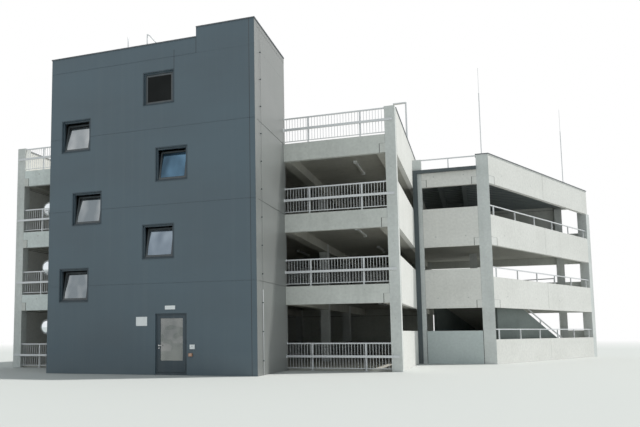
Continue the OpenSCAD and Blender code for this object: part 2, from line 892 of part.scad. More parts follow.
// The last window is shut, the others tilt in at the top
module window_sashes() {
    sash_w = win_w - 2 * win_bar - 10;
    sash_h = win_h - 2 * win_bar - 10;
    color("darkslategray") site() for (i = [0:5]) {
        w = windows[i];
        translate([w[0] + win_bar + 5, 140, w[1] + win_bar])
            rotate([i < 5 ? -sash_tilt : 0, 0, 0]) translate([0, -50, 0]) {
                ring(sash_w, sash_h, 60, 50);
                translate([59, 15, 59]) cube([sash_w - 118, 20, sash_h - 118]);
            }
    }
}

// One half of a hinge: a knuckle on the hinge line and a plate, to the right (1) or the left (-1)
module hinge_half(z, side) {
    translate([hinge_x, hinge_y, z]) {
        cylinder(r = knuckle_r, h = knuckle_h, $fn = 32);
        block(side > 0 ? 0 : -50, side > 0 ? 40 : 0, knuckle_r / 2, leaf_y - hinge_y + 1,
              0, knuckle_h);
    }
}

module entrance_frame() {
    color("darkslategray") site() {
        difference() {
            block(door_x0, door_x1, leaf_y, leaf_y + 80, 0, door_h);
            block(door_x0 + win_bar, door_x1 - win_bar, leaf_y - 1, leaf_y + 81, ground_floor,
                  door_h - win_bar);
        }
        block(door_x0 + win_bar, door_x1 - win_bar, leaf_y + 80, wall_t, 0, ground_floor);
        for (z = hinge_zs) hinge_half(z, 1);
    }
}

// The leaf's clear width and height inside the frame
hinge_x = door_x1 - win_bar;
leaf_x0 = door_x0 + win_bar + leaf_gap;
leaf_x1 = hinge_x - leaf_gap;
leaf_z0 = ground_floor + 10;
leaf_z1 = door_h - win_bar - leaf_gap;
leaf_y = 60;
knuckle_r = 10;
knuckle_h = 55;
knuckle_out = 7;
hinge_end = 190;
hinge_y = leaf_y - knuckle_r - knuckle_out;
hinge_zs = [leaf_z0 + hinge_end, (leaf_z0 + leaf_z1) / 2, leaf_z1 - hinge_end - 2 * knuckle_h];

module door_leaf() {
    color("darkslategray") site() {
        difference() {
            block(leaf_x0, leaf_x1, leaf_y, leaf_y + leaf_t, leaf_z0, leaf_z1);
            block(leaf_x0 + leaf_bar, leaf_x1 - leaf_bar, leaf_y - 1, leaf_y + leaf_t + 1,
                  leaf_z0 + kick_h, leaf_z1 - leaf_bar);
        }
        for (z = hinge_zs) hinge_half(z + knuckle_h + 0.3, -1);
    }
}

module door_glass() {
    color("lightsteelblue") site()
        block(leaf_x0 + leaf_bar, leaf_x1 - leaf_bar, leaf_y + 20, leaf_y + 40,
              leaf_z0 + kick_h, leaf_z1 - leaf_bar);
}

// Lever handles on both faces of the leaf, each a rose, a neck and a lever
handle_z = 1050;
rose_d = 52;
rose_t = 8;
neck_d = 20;
neck_l = 50;
lever_l = 140;
lever_t = 16;
lever_out = 40;
module lever_handle() {
    cylinder(d = rose_d, h = rose_t, $fn = 32);
    cylinder(d = neck_d, h = neck_l, $fn = 24);
    translate([-neck_d / 2, -neck_d / 2, lever_out]) cube([lever_l, neck_d, lever_t]);
}

module door_handle() {
    x = leaf_x0 + leaf_bar / 2;
    color("silver") site() {
        translate([x, leaf_y, handle_z]) rotate([90, 0, 0]) lever_handle();
        translate([x, leaf_y + leaf_t, handle_z]) rotate([-90, 0, 0]) lever_handle();
    }
}

ground_slab();
deck_1();
deck_2();
deck_3();
wing_ground_slab();
wing_deck_1();
wing_deck_2();
front_columns();
inner_columns();
rim_columns();
wing_columns();
deck_beams();
front_beams();
right_side_panels();
left_side_panels();
rear_panels();
stub_panels();
slanted_panels();
copings();
roof_sheet();
roof_beams();
gutter_and_downpipe();
front_railings();
crash_rails();
handrails();
ramp();
ramp_walls();
traffic_mirrors();
soffit_lights();
deck_lamp();
lightning_rods();
tower_front_wall();
tower_front_left();
tower_front_right();
tower_side_walls();
tower_rear_wall();
tower_floors();
tower_roof();
window_frames();
window_sashes();
entrance_frame();
deck_doors();
door_leaf();
door_glass();
door_handle();
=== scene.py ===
"""Looks of the multi storey car park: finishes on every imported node, and the small fittings.

Sizes are in metres. Site coordinates start at the tower's front right corner, with X to the
right, Y to the rear and Z up; site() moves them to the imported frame.
"""

import logging
import math
from contextlib import contextmanager
from dataclasses import dataclass, field, replace
from enum import Enum
from typing import Callable, Iterable, Iterator, Optional, Sequence

import bpy
from mathutils import Matrix, Vector


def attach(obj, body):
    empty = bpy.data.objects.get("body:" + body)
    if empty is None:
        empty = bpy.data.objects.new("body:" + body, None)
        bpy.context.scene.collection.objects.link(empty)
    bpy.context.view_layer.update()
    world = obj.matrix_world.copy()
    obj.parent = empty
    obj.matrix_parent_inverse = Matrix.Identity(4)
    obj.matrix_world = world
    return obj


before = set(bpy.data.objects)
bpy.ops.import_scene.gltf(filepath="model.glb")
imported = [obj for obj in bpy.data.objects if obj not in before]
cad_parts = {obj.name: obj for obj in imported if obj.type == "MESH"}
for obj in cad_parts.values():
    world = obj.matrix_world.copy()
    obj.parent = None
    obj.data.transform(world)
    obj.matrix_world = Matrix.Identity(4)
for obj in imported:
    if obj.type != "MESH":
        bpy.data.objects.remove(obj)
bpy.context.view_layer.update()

log = logging.getLogger("car_park")

Piece = bpy.types.Object
Socket = bpy.types.NodeSocket
Group = bpy.types.NodeTree
Point = Sequence[float]
Color = tuple[float, float, float]

BODY = "building"
DOOR_BODY = "entrance_door"

# The building's lines in site coordinates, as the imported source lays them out
BLOCK_LEFT = -12.95
BLOCK_RIGHT = 4.44
REAR_Y = 23.0
TOWER_W = 8.5
TOWER_D = 4.0
TOWER_H = 12.4
RAISED_H = 0.38
WINDOW_W = 1.24
WINDOW_H = 1.25
DOOR_X = -3.88
STUB_Y = 11.06
WING_X = 7.87
WING_ANGLE = math.radians(26)
COL = 0.4
FAR_COL = 0.5
CORNER_COL = 0.54
PANEL_T = 0.2
FRONT_Y = TOWER_D - PANEL_T
LEVELS = (0.08, 3.3, 6.2, 9.1)
TOP_DECK = LEVELS[3]
STOREY_H = 2.9
DECK_T = 0.3
PARAPET_H = 1.1
PANEL_DROP = 0.73
LOW_GROUND = 1.11
LOW_PANEL = 0.68
END_PANEL = 1.04
WING_TOP = TOP_DECK + 0.65
FASCIA_TOP = TOP_DECK - 0.05
FIRST_POST = 0.53
POST_GAP = 2.32
CRASH_D = 0.06

WING_LEN = (REAR_Y - STUB_Y - FAR_COL * math.sin(WING_ANGLE)) / math.cos(WING_ANGLE)
MID_X = (WING_X + WING_LEN * math.sin(WING_ANGLE) + BLOCK_LEFT) / 2
MID_Y = REAR_Y / 2
ROWS = (STUB_Y + COL / 2, (STUB_Y + REAR_Y) / 2, REAR_Y - COL / 2)
RAIL_BASES = (0.0, *LEVELS[1:])
PANEL_FEET = tuple(level - PANEL_DROP for level in LEVELS[1:])
SLANT_TOPS = (LOW_GROUND, LEVELS[1] + LOW_PANEL, LEVELS[2] + LOW_PANEL, WING_TOP)
FRONT = Vector((0, -1, 0))
# Top of the painted shade on the wing's ground storey panels
GROUND_SHADE_TOP = 2.0
HAIR = 0.001


def site(x: float, y: float, z: float) -> Vector:
    """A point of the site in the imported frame."""
    return Vector((x - MID_X, y - MID_Y, z))


def slant(s: float, e: float, z: float) -> Vector:
    """A point by its distance along the wing's slanted face and behind it."""
    sine, cosine = math.sin(WING_ANGLE), math.cos(WING_ANGLE)
    return site(WING_X + s * sine - e * cosine, STUB_Y + s * cosine + e * sine, z)


def at(x: float, y: float, z: float, turn: float = 0.0) -> Matrix:
    """From a piece's own frame to a place on the site, turned about Z."""
    return Matrix.Translation(site(x, y, z)) @ Matrix.Rotation(turn, 4, "Z")


def on_slant(s: float, e: float, z: float) -> Matrix:
    """From a piece's own frame to a place on the wing's slanted face."""
    return Matrix.Translation(slant(s, e, z)) @ Matrix.Rotation(math.pi / 2 - WING_ANGLE, 4, "Z")


def spans(columns: Point) -> list[tuple[float, float]]:
    """The stretches between columns that stand at these places."""
    return [(a + COL / 2, b - COL / 2) for a, b in zip(columns, columns[1:])]


REAR_SPANS = spans((BLOCK_LEFT + COL / 2, (BLOCK_LEFT + BLOCK_RIGHT) / 2, BLOCK_RIGHT - COL / 2))
LEFT_SPANS = spans((FRONT_Y + COL / 2, *ROWS))


# Node trees


class Tree:
    """A node tree being wired, with short calls for what the finishes share."""

    def __init__(self, tree: Group) -> None:
        """Start on a tree."""
        self.tree = tree

    def add(self, kind: str, **settings: object) -> bpy.types.Node:
        """Add a node and set its properties.

        Args:
            kind: The node type without its "ShaderNode" prefix.
            settings: Node properties by name.

        Returns:
            The new node.
        """
        node = self.tree.nodes.new(kind if kind.startswith("NodeGroup") else "ShaderNode" + kind)
        for key, value in settings.items():
            setattr(node, key, value)
        return node

    def find(self, kind: str) -> bpy.types.Node:
        """The tree's own node of a type."""
        return next(node for node in self.tree.nodes if node.type == kind)

    def feed(self, target: Socket, value: object) -> None:
        """Link a socket into the target, or set a plain value or an opaque colour on it.

        Args:
            target: The input socket.
            value: A socket, a value or a colour of three numbers; None changes nothing.
        """
        if isinstance(value, Socket):
            self.tree.links.new(value, target)
        elif value is not None:
            target.default_value = (*value, 1.0) if target.type == "RGBA" else value

    def fill(self, node: bpy.types.Node, values: dict[str, object]) -> bpy.types.Node:
        """Feed a node's inputs by their names.

        Args:
            node: The node.
            values: What each input is fed.

        Returns:
            The node.
        """
        for key, value in values.items():
            self.feed(node.inputs[key], value)
        return node

    def math(self, operation: str, a: object, b: object = None, clamp: bool = False) -> Socket:
        """The result of a math node on one or two values.

        Args:
            operation: The node's operation.
            a: The first value.
            b: The second value, where there are two.
            clamp: Whether the result is held in 0..1.

        Returns:
            The node's output.
        """
        node = self.add("Math", operation=operation, use_clamp=clamp)
        self.feed(node.inputs[0], a)
        self.feed(node.inputs[1], b)
        return node.outputs[0]

    def times(self, a: object, b: object, clamp: bool = False) -> Socket:
        """One value times another."""
        return self.math("MULTIPLY", a, b, clamp)

    def spread(self, value: object, low: float, high: float,
               start: float = 0.0, end: float = 1.0) -> Socket:
        """Spread a value from low..high over start..end, held at both ends.

        Args:
            value: The value.
            low: Where its range starts.
            high: Where its range ends.
            start: The result at low.
            end: The result at high.

        Returns:
            The node's output.
        """
        node = self.add("MapRange", clamp=True)
        for socket, number in zip(node.inputs, (value, low, high, start, end)):
            self.feed(socket, number)
        return node.outputs[0]

    def blend(self, amount: object, a: object, b: object, kind: str = "MIX") -> Socket:
        """A colour between two colours.

        Args:
            amount: 0 for the first colour, 1 for the second.
            a: The first colour.
            b: The second colour.
            kind: How they are blended.

        Returns:
            The node's output.
        """
        node = self.add("Mix", data_type="RGBA", blend_type=kind)
        for index, value in ((0, amount), (6, a), (7, b)):
            self.feed(node.inputs[index], value)
        return node.outputs[2]

    def tint(self, color: object, by: object) -> Socket:
        """A colour multiplied by another colour or by a value."""
        return self.blend(1.0, color, by, "MULTIPLY")

    def place(self, stretch: Point = (1, 1, 1)) -> Socket:
        """Object coordinates, stretched along the axes."""
        coords = self.add("TexCoord").outputs["Object"]
        return self.fill(self.add("Mapping"), {"Vector": coords, "Scale": stretch}).outputs[0]

    def part(self, vector: Socket, index: int) -> Socket:
        """One coordinate of a vector.

        Args:
            vector: The vector.
            index: 0 for X, 1 for Y, 2 for Z.

        Returns:
            The coordinate.
        """
        split = self.add("SeparateXYZ")
        self.feed(split.inputs[0], vector)
        return split.outputs[index]

    def height(self) -> Socket:
        """Height above the ground."""
        return self.part(self.place(), 2)

    def noise(self, stretch: Point, detail: float = 4.0) -> Socket:
        """Noise with the given number of waves per metre along each axis."""
        return self.fill(self.add("TexNoise"), {
            "Scale": 1.0, "Detail": detail, "Vector": self.place(stretch)}).outputs[0]

    def cells(self, per_metre: float, output: str = "Distance") -> Socket:
        """Voronoi cells with the given number per metre."""
        return self.fill(self.add("TexVoronoi"), {
            "Scale": per_metre, "Vector": self.place()}).outputs[output]

    def close(self, *results: Socket) -> Group:
        """Link the results to the group's outputs, in their order, and return the group.

        Args:
            results: A socket for each of the group's outputs, in their order.

        Returns:
            The node group.
        """
        for socket, result in zip(self.find("GROUP_OUTPUT").inputs, results):
            self.feed(socket, result)
        return self.tree


def new_group(name: str, colors: Sequence[str], values: Sequence[str] = (),
              outputs: Sequence[str] = ("Color", "Roughness", "Height")) -> tuple[Tree, dict[str, Socket]]:
    """Start a shader node group with named sockets.

    Args:
        name: The group's name.
        colors: Names of the colour inputs.
        values: Names of the number inputs.
        outputs: Names of the outputs; "Color" is a colour and the others are numbers.

    Returns:
        The tree, and the group's input sockets by name.
    """
    group = bpy.data.node_groups.new(name, "ShaderNodeTree")
    for way, names, tinted in (("INPUT", (*colors, *values), colors), ("OUTPUT", outputs, ("Color",))):
        for key in names:
            kind = "NodeSocketColor" if key in tinted else "NodeSocketFloat"
            group.interface.new_socket(name=key, in_out=way, socket_type=kind)
    tree = Tree(group)
    tree.add("NodeGroupOutput")
    source = tree.add("NodeGroupInput")
    return tree, {key: source.outputs[key] for key in (*colors, *values)}


class Axis(Enum):
    """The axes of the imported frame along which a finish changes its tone."""

    X = 0
    Z = 2


class Base(Enum):
    """The shared effect of a finish, with its inputs for color, second, strength and fine."""

    CONCRETE = ("Pale", "Dark", "Streaks", "Pores")
    SHEET = ("Color", "", "Runs", "Waves")
    ZINC = ("Color", "", "Spangle", "")
    PANE = ("Dim", "Bright", "", "")


class Effects:
    """Node groups that several finishes share."""

    PORE_COLOR = (0.16, 0.16, 0.15)
    SHEET_DUST = (0.42, 0.41, 0.38)
    ZINC_BLOOM = (0.78, 0.79, 0.79)
    TOP_DUST = (0.4, 0.38, 0.33)
    PORES_PER_M = 17.0
    SPANGLES_PER_M = 70.0
    STOREY_LINE = 0.33

    def __init__(self) -> None:
        """Build all groups."""
        self.surfaces = {Base.CONCRETE: self._concrete(), Base.SHEET: self._sheet(),
                         Base.ZINC: self._zinc(), Base.PANE: self._pane()}
        self.bands = {axis: self._band(axis) for axis in Axis}
        self.dust = self._dust()

    def _concrete(self) -> Group:
        """Cast concrete: clouds, rain streaks, a tone for each storey, pores and grain.

        Returns:
            The node group.
        """
        tree, given = new_group("cast_concrete", ("Pale", "Dark"), ("Streaks", "Pores"))
        clouds = tree.spread(tree.noise((0.45, 0.45, 0.8), 6.0), 0.35, 0.68)
        streaks = tree.times(tree.spread(tree.noise((3.1, 3.1, 0.16), 5.0), 0.5, 0.74), given["Streaks"])
        storey = tree.math("DIVIDE", tree.math("ADD", tree.height(), self.STOREY_LINE), STOREY_H)
        white = tree.add("TexWhiteNoise", noise_dimensions="1D")
        tree.feed(white.inputs["W"], tree.math("FLOOR", storey))
        tone = tree.times(white.outputs["Value"], 0.22)
        dirt = tree.math("ADD", tree.times(clouds, 0.5), tree.math("ADD", streaks, tone), True)
        pits = tree.times(tree.spread(tree.cells(self.PORES_PER_M), 0.16, 0.06), given["Pores"])
        mottle = tree.spread(tree.noise((9.0, 9.0, 9.0)), 0.3, 0.7, 0.93, 1.04)
        color = tree.tint(tree.blend(dirt, given["Pale"], given["Dark"]), mottle)
        grain = tree.times(tree.noise((60, 60, 60), 3.0), 0.35)
        return tree.close(tree.blend(tree.times(pits, 0.35), color, self.PORE_COLOR),
                          tree.spread(tree.math("ADD", clouds, streaks), 0.0, 1.4, 0.74, 0.93),
                          tree.math("SUBTRACT", grain, pits))

    def _sheet(self) -> Group:
        """Coated sheet metal: cloudy tones, faint runs, dust low down and slight waves.

        Returns:
            The node group.
        """
        tree, given = new_group("coated_sheet", ("Color",), ("Runs", "Waves"))
        runs = tree.spread(tree.noise((5.0, 5.0, 0.14), 5.0), 0.5, 0.75)
        clouds = tree.spread(tree.noise((0.25, 0.25, 0.5), 3.0), 0.35, 0.65)
        low = tree.times(tree.spread(tree.height(), 0.9, 0.05), clouds)
        haze = tree.math("ADD", tree.times(runs, given["Runs"]), tree.times(low, 0.3), True)
        shade = tree.tint(given["Color"], tree.spread(clouds, 0, 1, 0.93, 1.06))
        waves = tree.times(tree.noise((0.9, 0.9, 0.5), 1.0), given["Waves"])
        return tree.close(tree.blend(tree.times(haze, 0.35), shade, self.SHEET_DUST),
                          tree.spread(tree.math("ADD", haze, clouds), 0, 2, 0.36, 0.62),
                          tree.math("ADD", waves, tree.times(runs, 0.02)))

    def _zinc(self) -> Group:
        """Hot-dip galvanising: spangles and a pale bloom.

        Returns:
            The node group.
        """
        tree, given = new_group("galvanising", ("Color",), ("Spangle",))
        spangle = tree.times(tree.cells(self.SPANGLES_PER_M, "Color"), given["Spangle"])
        bloom = tree.spread(tree.noise((3, 3, 3), 5.0), 0.42, 0.7)
        shade = tree.tint(given["Color"], tree.spread(spangle, 0, 0.6, 0.88, 1.06))
        gloss = tree.spread(spangle, 0, 0.6, 0.34, 0.48)
        return tree.close(tree.blend(tree.times(bloom, 0.4), shade, self.ZINC_BLOOM),
                          tree.math("ADD", gloss, tree.times(bloom, 0.2)),
                          tree.noise((40, 40, 40), 2.0))

    def _pane(self) -> Group:
        """A glass or mirror face: two painted reflection tones that drift into each other, rain marks and
        slight waves.

        Returns:
            The node group.
        """
        tree, given = new_group("window_pane", ("Dim", "Bright"))
        drift = tree.spread(tree.noise((1.1, 1.1, 0.7), 2.0), 0.35, 0.65)
        marks = tree.spread(tree.noise((7, 7, 0.9)), 0.55, 0.75)
        return tree.close(tree.blend(drift, given["Dim"], given["Bright"]),
                          tree.spread(marks, 0, 1, 0.03, 0.14), tree.noise((1.6, 1.6, 1.6), 1.0))

    def _dust(self) -> Group:
        """Dust on faces that look up.

        Returns:
            The node group.
        """
        tree, given = new_group("dust_on_top", ("Color",), ("Amount",), ("Color",))
        up = tree.spread(tree.part(tree.add("NewGeometry").outputs["Normal"], 2), 0.35, 0.95)
        patches = tree.spread(tree.noise((1.7, 1.7, 1.7), 5.0), 0.3, 0.7, 0.35, 1.0)
        mask = tree.times(tree.times(up, patches), given["Amount"], True)
        return tree.close(tree.blend(mask, given["Color"], self.TOP_DUST))

    def _band(self, axis: Axis) -> Group:
        """Another tone between two places along an axis.

        Args:
            axis: The axis.

        Returns:
            The node group.
        """
        tree, given = new_group("band_" + axis.name, ("Color", "Tint"), ("Start", "End"), ("Color",))
        place = tree.part(tree.place(), axis.value)
        inside = tree.times(tree.math("GREATER_THAN", place, given["Start"]),
                            tree.math("LESS_THAN", place, given["End"]))
        return tree.close(tree.blend(inside, given["Color"], tree.tint(given["Color"], given["Tint"])))


# Finishes


@dataclass(frozen=True)
class Band:
    """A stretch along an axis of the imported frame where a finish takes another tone."""

    start: float
    end: float
    tint: Color
    axis: Axis = Axis.X


def across(x0: float, x1: float, tint: Color) -> Band:
    """A band between two places along the front, a hair inside both."""
    return Band(x0 - MID_X + HAIR, x1 - MID_X - HAIR, tint)


@dataclass(frozen=True)
class Finish:
    """A finish of the building: its effect, colours and shader values."""

    name: str
    base: Base
    color: Color
    strength: float = 0.5
    fine: float = 0.5
    dust: float = 0.4
    bump: float = 0.004
    second: Color = (0.4, 0.4, 0.4)
    metallic: float = 0.0
    transmission: float = 0.0
    specular: float = 0.5
    bands: tuple[Band, ...] = ()

    def make(self, effects: Effects) -> bpy.types.Material:
        """Build the material from the shared effects.

        Args:
            effects: The shared effects.

        Returns:
            The material.
        """
        material = bpy.data.materials.new(self.name)
        material.use_nodes = True
        tree = Tree(material.node_tree)
        given = zip(self.base.value, (self.color, self.second, self.strength, self.fine))
        surface = tree.fill(tree.add("Group", node_tree=effects.surfaces[self.base]),
                            {key: value for key, value in given if key}).outputs
        color = surface["Color"]
        for band in self.bands:
            color = tree.fill(tree.add("Group", node_tree=effects.bands[band.axis]), {
                "Color": color, "Tint": band.tint, "Start": band.start, "End": band.end}).outputs[0]
        if self.dust:
            color = tree.fill(tree.add("Group", node_tree=effects.dust), {
                "Color": color, "Amount": self.dust}).outputs[0]
        bump = tree.fill(tree.add("Bump"), {
            "Strength": 0.6, "Distance": self.bump, "Height": surface["Height"]})
        tree.fill(tree.find("BSDF_PRINCIPLED"), {
            "Base Color": color, "Roughness": surface["Roughness"], "Normal": bump.outputs["Normal"],
            "Metallic": self.metallic, "Transmission Weight": self.transmission,
            "Specular IOR Level": self.specular})
        return material


PRECAST = Finish("precast_panel", Base.CONCRETE, (0.72, 0.735, 0.70), 0.35, 0.5, 0.35,
                 second=(0.54, 0.55, 0.52))
SIDE = Finish("side_panel", Base.CONCRETE, (0.80, 0.795, 0.765), 0.2, 0.35, 0.25,
              second=(0.70, 0.695, 0.665))
# The front beams left of the tower are tinted lighter and bluer: painted skylight.
LEFT_BEAMS_PAINTED_SKYLIGHT = Band(BLOCK_LEFT - MID_X, -TOWER_W - MID_X, (1.12, 1.17, 1.20))
FRONT_LEDGES = across(BLOCK_LEFT + COL, BLOCK_RIGHT - COL, (1.0, 0.985, 0.965))
# The wing's ledges are tinted paler and warmer: painted sunlight.
LEDGE_PAINTED_SUNLIGHT = (1.14, 1.10, 1.08)
WING_LEDGES_PAINTED_SUNLIGHT = (across(BLOCK_RIGHT + COL, WING_X - CORNER_COL, LEDGE_PAINTED_SUNLIGHT),
               across(WING_X, WING_X + 1.0, LEDGE_PAINTED_SUNLIGHT))
# The wing's ground storey panels are tinted darker and bluer: painted shade.
GROUND_STOREY_SHADE = Band(-1.0, GROUND_SHADE_TOP, (0.70, 0.78, 0.81), Axis.Z)

# Name, effect and colour, then strength, fineness, dust and bump height
FINISHES = (
    PRECAST,
    replace(PRECAST, name="front_beam", bands=(LEFT_BEAMS_PAINTED_SKYLIGHT,)),
    SIDE,
    replace(SIDE, name="stub_panel", bands=(GROUND_STOREY_SHADE,)),
    Finish("cast_column", Base.CONCRETE, (0.70, 0.72, 0.71), 0.4, 0.7, 0.35, second=(0.55, 0.57, 0.56)),
    Finish("front_column", Base.CONCRETE, (0.72, 0.74, 0.72), 0.4, 0.7, 0.35,
           second=(0.55, 0.565, 0.545), bands=(FRONT_LEDGES,)),
    Finish("wing_column", Base.CONCRETE, (0.70, 0.725, 0.715), 0.4, 0.7, 0.35,
           second=(0.57, 0.595, 0.585), bands=WING_LEDGES_PAINTED_SUNLIGHT),
    Finish("deck_concrete", Base.CONCRETE, (0.58, 0.575, 0.525), 0.35, 0.6, 0.7,
           second=(0.41, 0.405, 0.365)),
    # The ramp's walls are painted dark teal grey: painted shade, for the shade under the deck above.
    Finish("ramp_side_painted_shade", Base.CONCRETE, (0.20, 0.232, 0.22), 0.3, 0.5, 0.6, second=(0.14, 0.165, 0.158)),
    Finish("joint_sealant", Base.CONCRETE, (0.10, 0.10, 0.095), 0.4, 0.2, 0.3, second=(0.06, 0.06, 0.055)),
    Finish("seam_mortar", Base.CONCRETE, (0.40, 0.41, 0.40), 0.4, 0.4, 0.2, second=(0.30, 0.305, 0.295)),
    Finish("patch_mortar", Base.CONCRETE, (0.64, 0.65, 0.625), 0.4, 0.8, 0.2, second=(0.50, 0.51, 0.49)),
    Finish("front_cladding", Base.SHEET, (0.090, 0.130, 0.158), 0.06, 0.35, 0.5, 0.02),
    # The side walls wear the front's dark paint made lighter: painted sunlight, a lit copy of the front
    # cladding.
    Finish("side_cladding", Base.SHEET, (0.225, 0.235, 0.23), 0.12, 0.4, 0.4, 0.02),
    Finish("coping_metal", Base.SHEET, (0.11, 0.125, 0.14), 0.3, 0.4, 0.35),
    Finish("gutter_metal", Base.SHEET, (0.065, 0.085, 0.093), 0.3, 0.3, 0.35),
    Finish("roof_steel", Base.SHEET, (0.20, 0.23, 0.24), 0.15, 0.4, 0.6, 0.006),
    Finish("window_metal", Base.SHEET, (0.040, 0.064, 0.082), 0.2, 0.1, 0.3, 0.001),
    Finish("sash_metal", Base.SHEET, (0.085, 0.10, 0.11), 0.2, 0.1, 0.2, 0.001),
    Finish("door_paint", Base.SHEET, (0.17, 0.18, 0.19), 0.4, 0.3, 0.3, 0.002),
    Finish("white_plastic", Base.SHEET, (0.90, 0.92, 0.93), 0.2, 0.1, 0.3, 0.001),
    Finish("grey_plastic", Base.SHEET, (0.45, 0.46, 0.47), 0.3, 0.1, 0.2, 0.001),
    Finish("lens_plastic", Base.SHEET, (0.62, 0.62, 0.57), 0.6, 0.1, 0.2, 0.001),
    Finish("rubber_seal", Base.SHEET, (0.018, 0.019, 0.02), 0.4, 0.2, 0.3, 0.001),
    Finish("galvanised", Base.ZINC, (0.68, 0.70, 0.72), 0.5, dust=0.2, bump=0.0006, metallic=0.3),
    Finish("brushed_handle", Base.ZINC, (0.62, 0.62, 0.63), 0.2, dust=0.0, bump=0.0002, metallic=0.9),
    Finish("copper_brown", Base.ZINC, (0.42, 0.21, 0.11), 0.3, dust=0.2, bump=0.0004, metallic=0.6),
    # Mirror and glass colours are painted reflections of sky and cloud; the darkest glass is the painted
    # shade of an unlit room.
    Finish("mirror_face", Base.PANE, (0.72, 0.78, 0.83), dust=0.0, second=(0.90, 0.92, 0.93), metallic=1.0),
    Finish("pale_glass", Base.PANE, (0.20, 0.23, 0.25), dust=0.0, bump=0.02,
           second=(0.46, 0.48, 0.49), metallic=0.9),
    Finish("cloud_glass", Base.PANE, (0.08, 0.11, 0.15), dust=0.0, bump=0.02,
           second=(0.30, 0.36, 0.42), metallic=0.8),
    Finish("blue_glass", Base.PANE, (0.04, 0.085, 0.13), dust=0.0, bump=0.02,
           second=(0.13, 0.25, 0.37), metallic=0.7),
    Finish("dark_glass", Base.PANE, (0.008, 0.010, 0.010), dust=0.0, bump=0.02,
           second=(0.016, 0.018, 0.018), specular=0.1),
    Finish("door_glass", Base.PANE, (0.20, 0.215, 0.215), dust=0.0, bump=0.03,
           second=(0.38, 0.385, 0.37), metallic=0.45, transmission=0.25),
)

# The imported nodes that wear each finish
NODES = {
    "deck_concrete": ("ground_slab", "deck_1", "deck_2", "deck_3", "deck_beams", "ramp",
                      "wing_ground_slab", "wing_deck_1", "wing_deck_2", "tower_floors", "tower_roof"),
    "front_column": ("front_columns",),
    "cast_column": ("inner_columns", "rim_columns"),
    "wing_column": ("wing_columns",),
    "front_beam": ("front_beams",),
    "precast_panel": ("rear_panels",),
    "side_panel": ("right_side_panels", "left_side_panels", "slanted_panels"),
    "stub_panel": ("stub_panels",),
    "ramp_side_painted_shade": ("ramp_walls",),
    "coping_metal": ("copings",),
    "roof_steel": ("roof_sheet", "roof_beams"),
    "gutter_metal": ("gutter_and_downpipe",),
    "galvanised": ("front_railings", "crash_rails", "handrails", "deck_lamp", "lightning_rods"),
    "white_plastic": ("traffic_mirrors", "soffit_lights"),
    "front_cladding": ("tower_front_wall", "tower_front_left", "tower_front_right"),
    "side_cladding": ("tower_side_walls", "tower_rear_wall"),
    "window_metal": ("window_frames", "entrance_frame", "door_leaf"),
    "sash_metal": ("window_sashes",),
    "door_paint": ("deck_doors",),
    "door_glass": ("door_glass",),
    "brushed_handle": ("door_handle",),
}


class PaintShop:
    """Holds the materials and puts them on nodes and pieces."""

    def __init__(self) -> None:
        """Build all materials."""
        effects = Effects()
        self.materials = {finish.name: finish.make(effects) for finish in FINISHES}

    def paint(self, piece: Piece, finish: str) -> None:
        """Give a whole piece one finish."""
        piece.data.materials.clear()
        piece.data.materials.append(self.materials[finish])

    def dress_nodes(self) -> None:
        """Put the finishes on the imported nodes' material slots."""
        for finish, names in NODES.items():
            for name in names:
                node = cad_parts[name]
                if not node.material_slots:
                    node.data.materials.append(None)
                for slot in node.material_slots:
                    slot.material = self.materials[finish]
                log.info("node %s wears %s", name, finish)


# Modelling


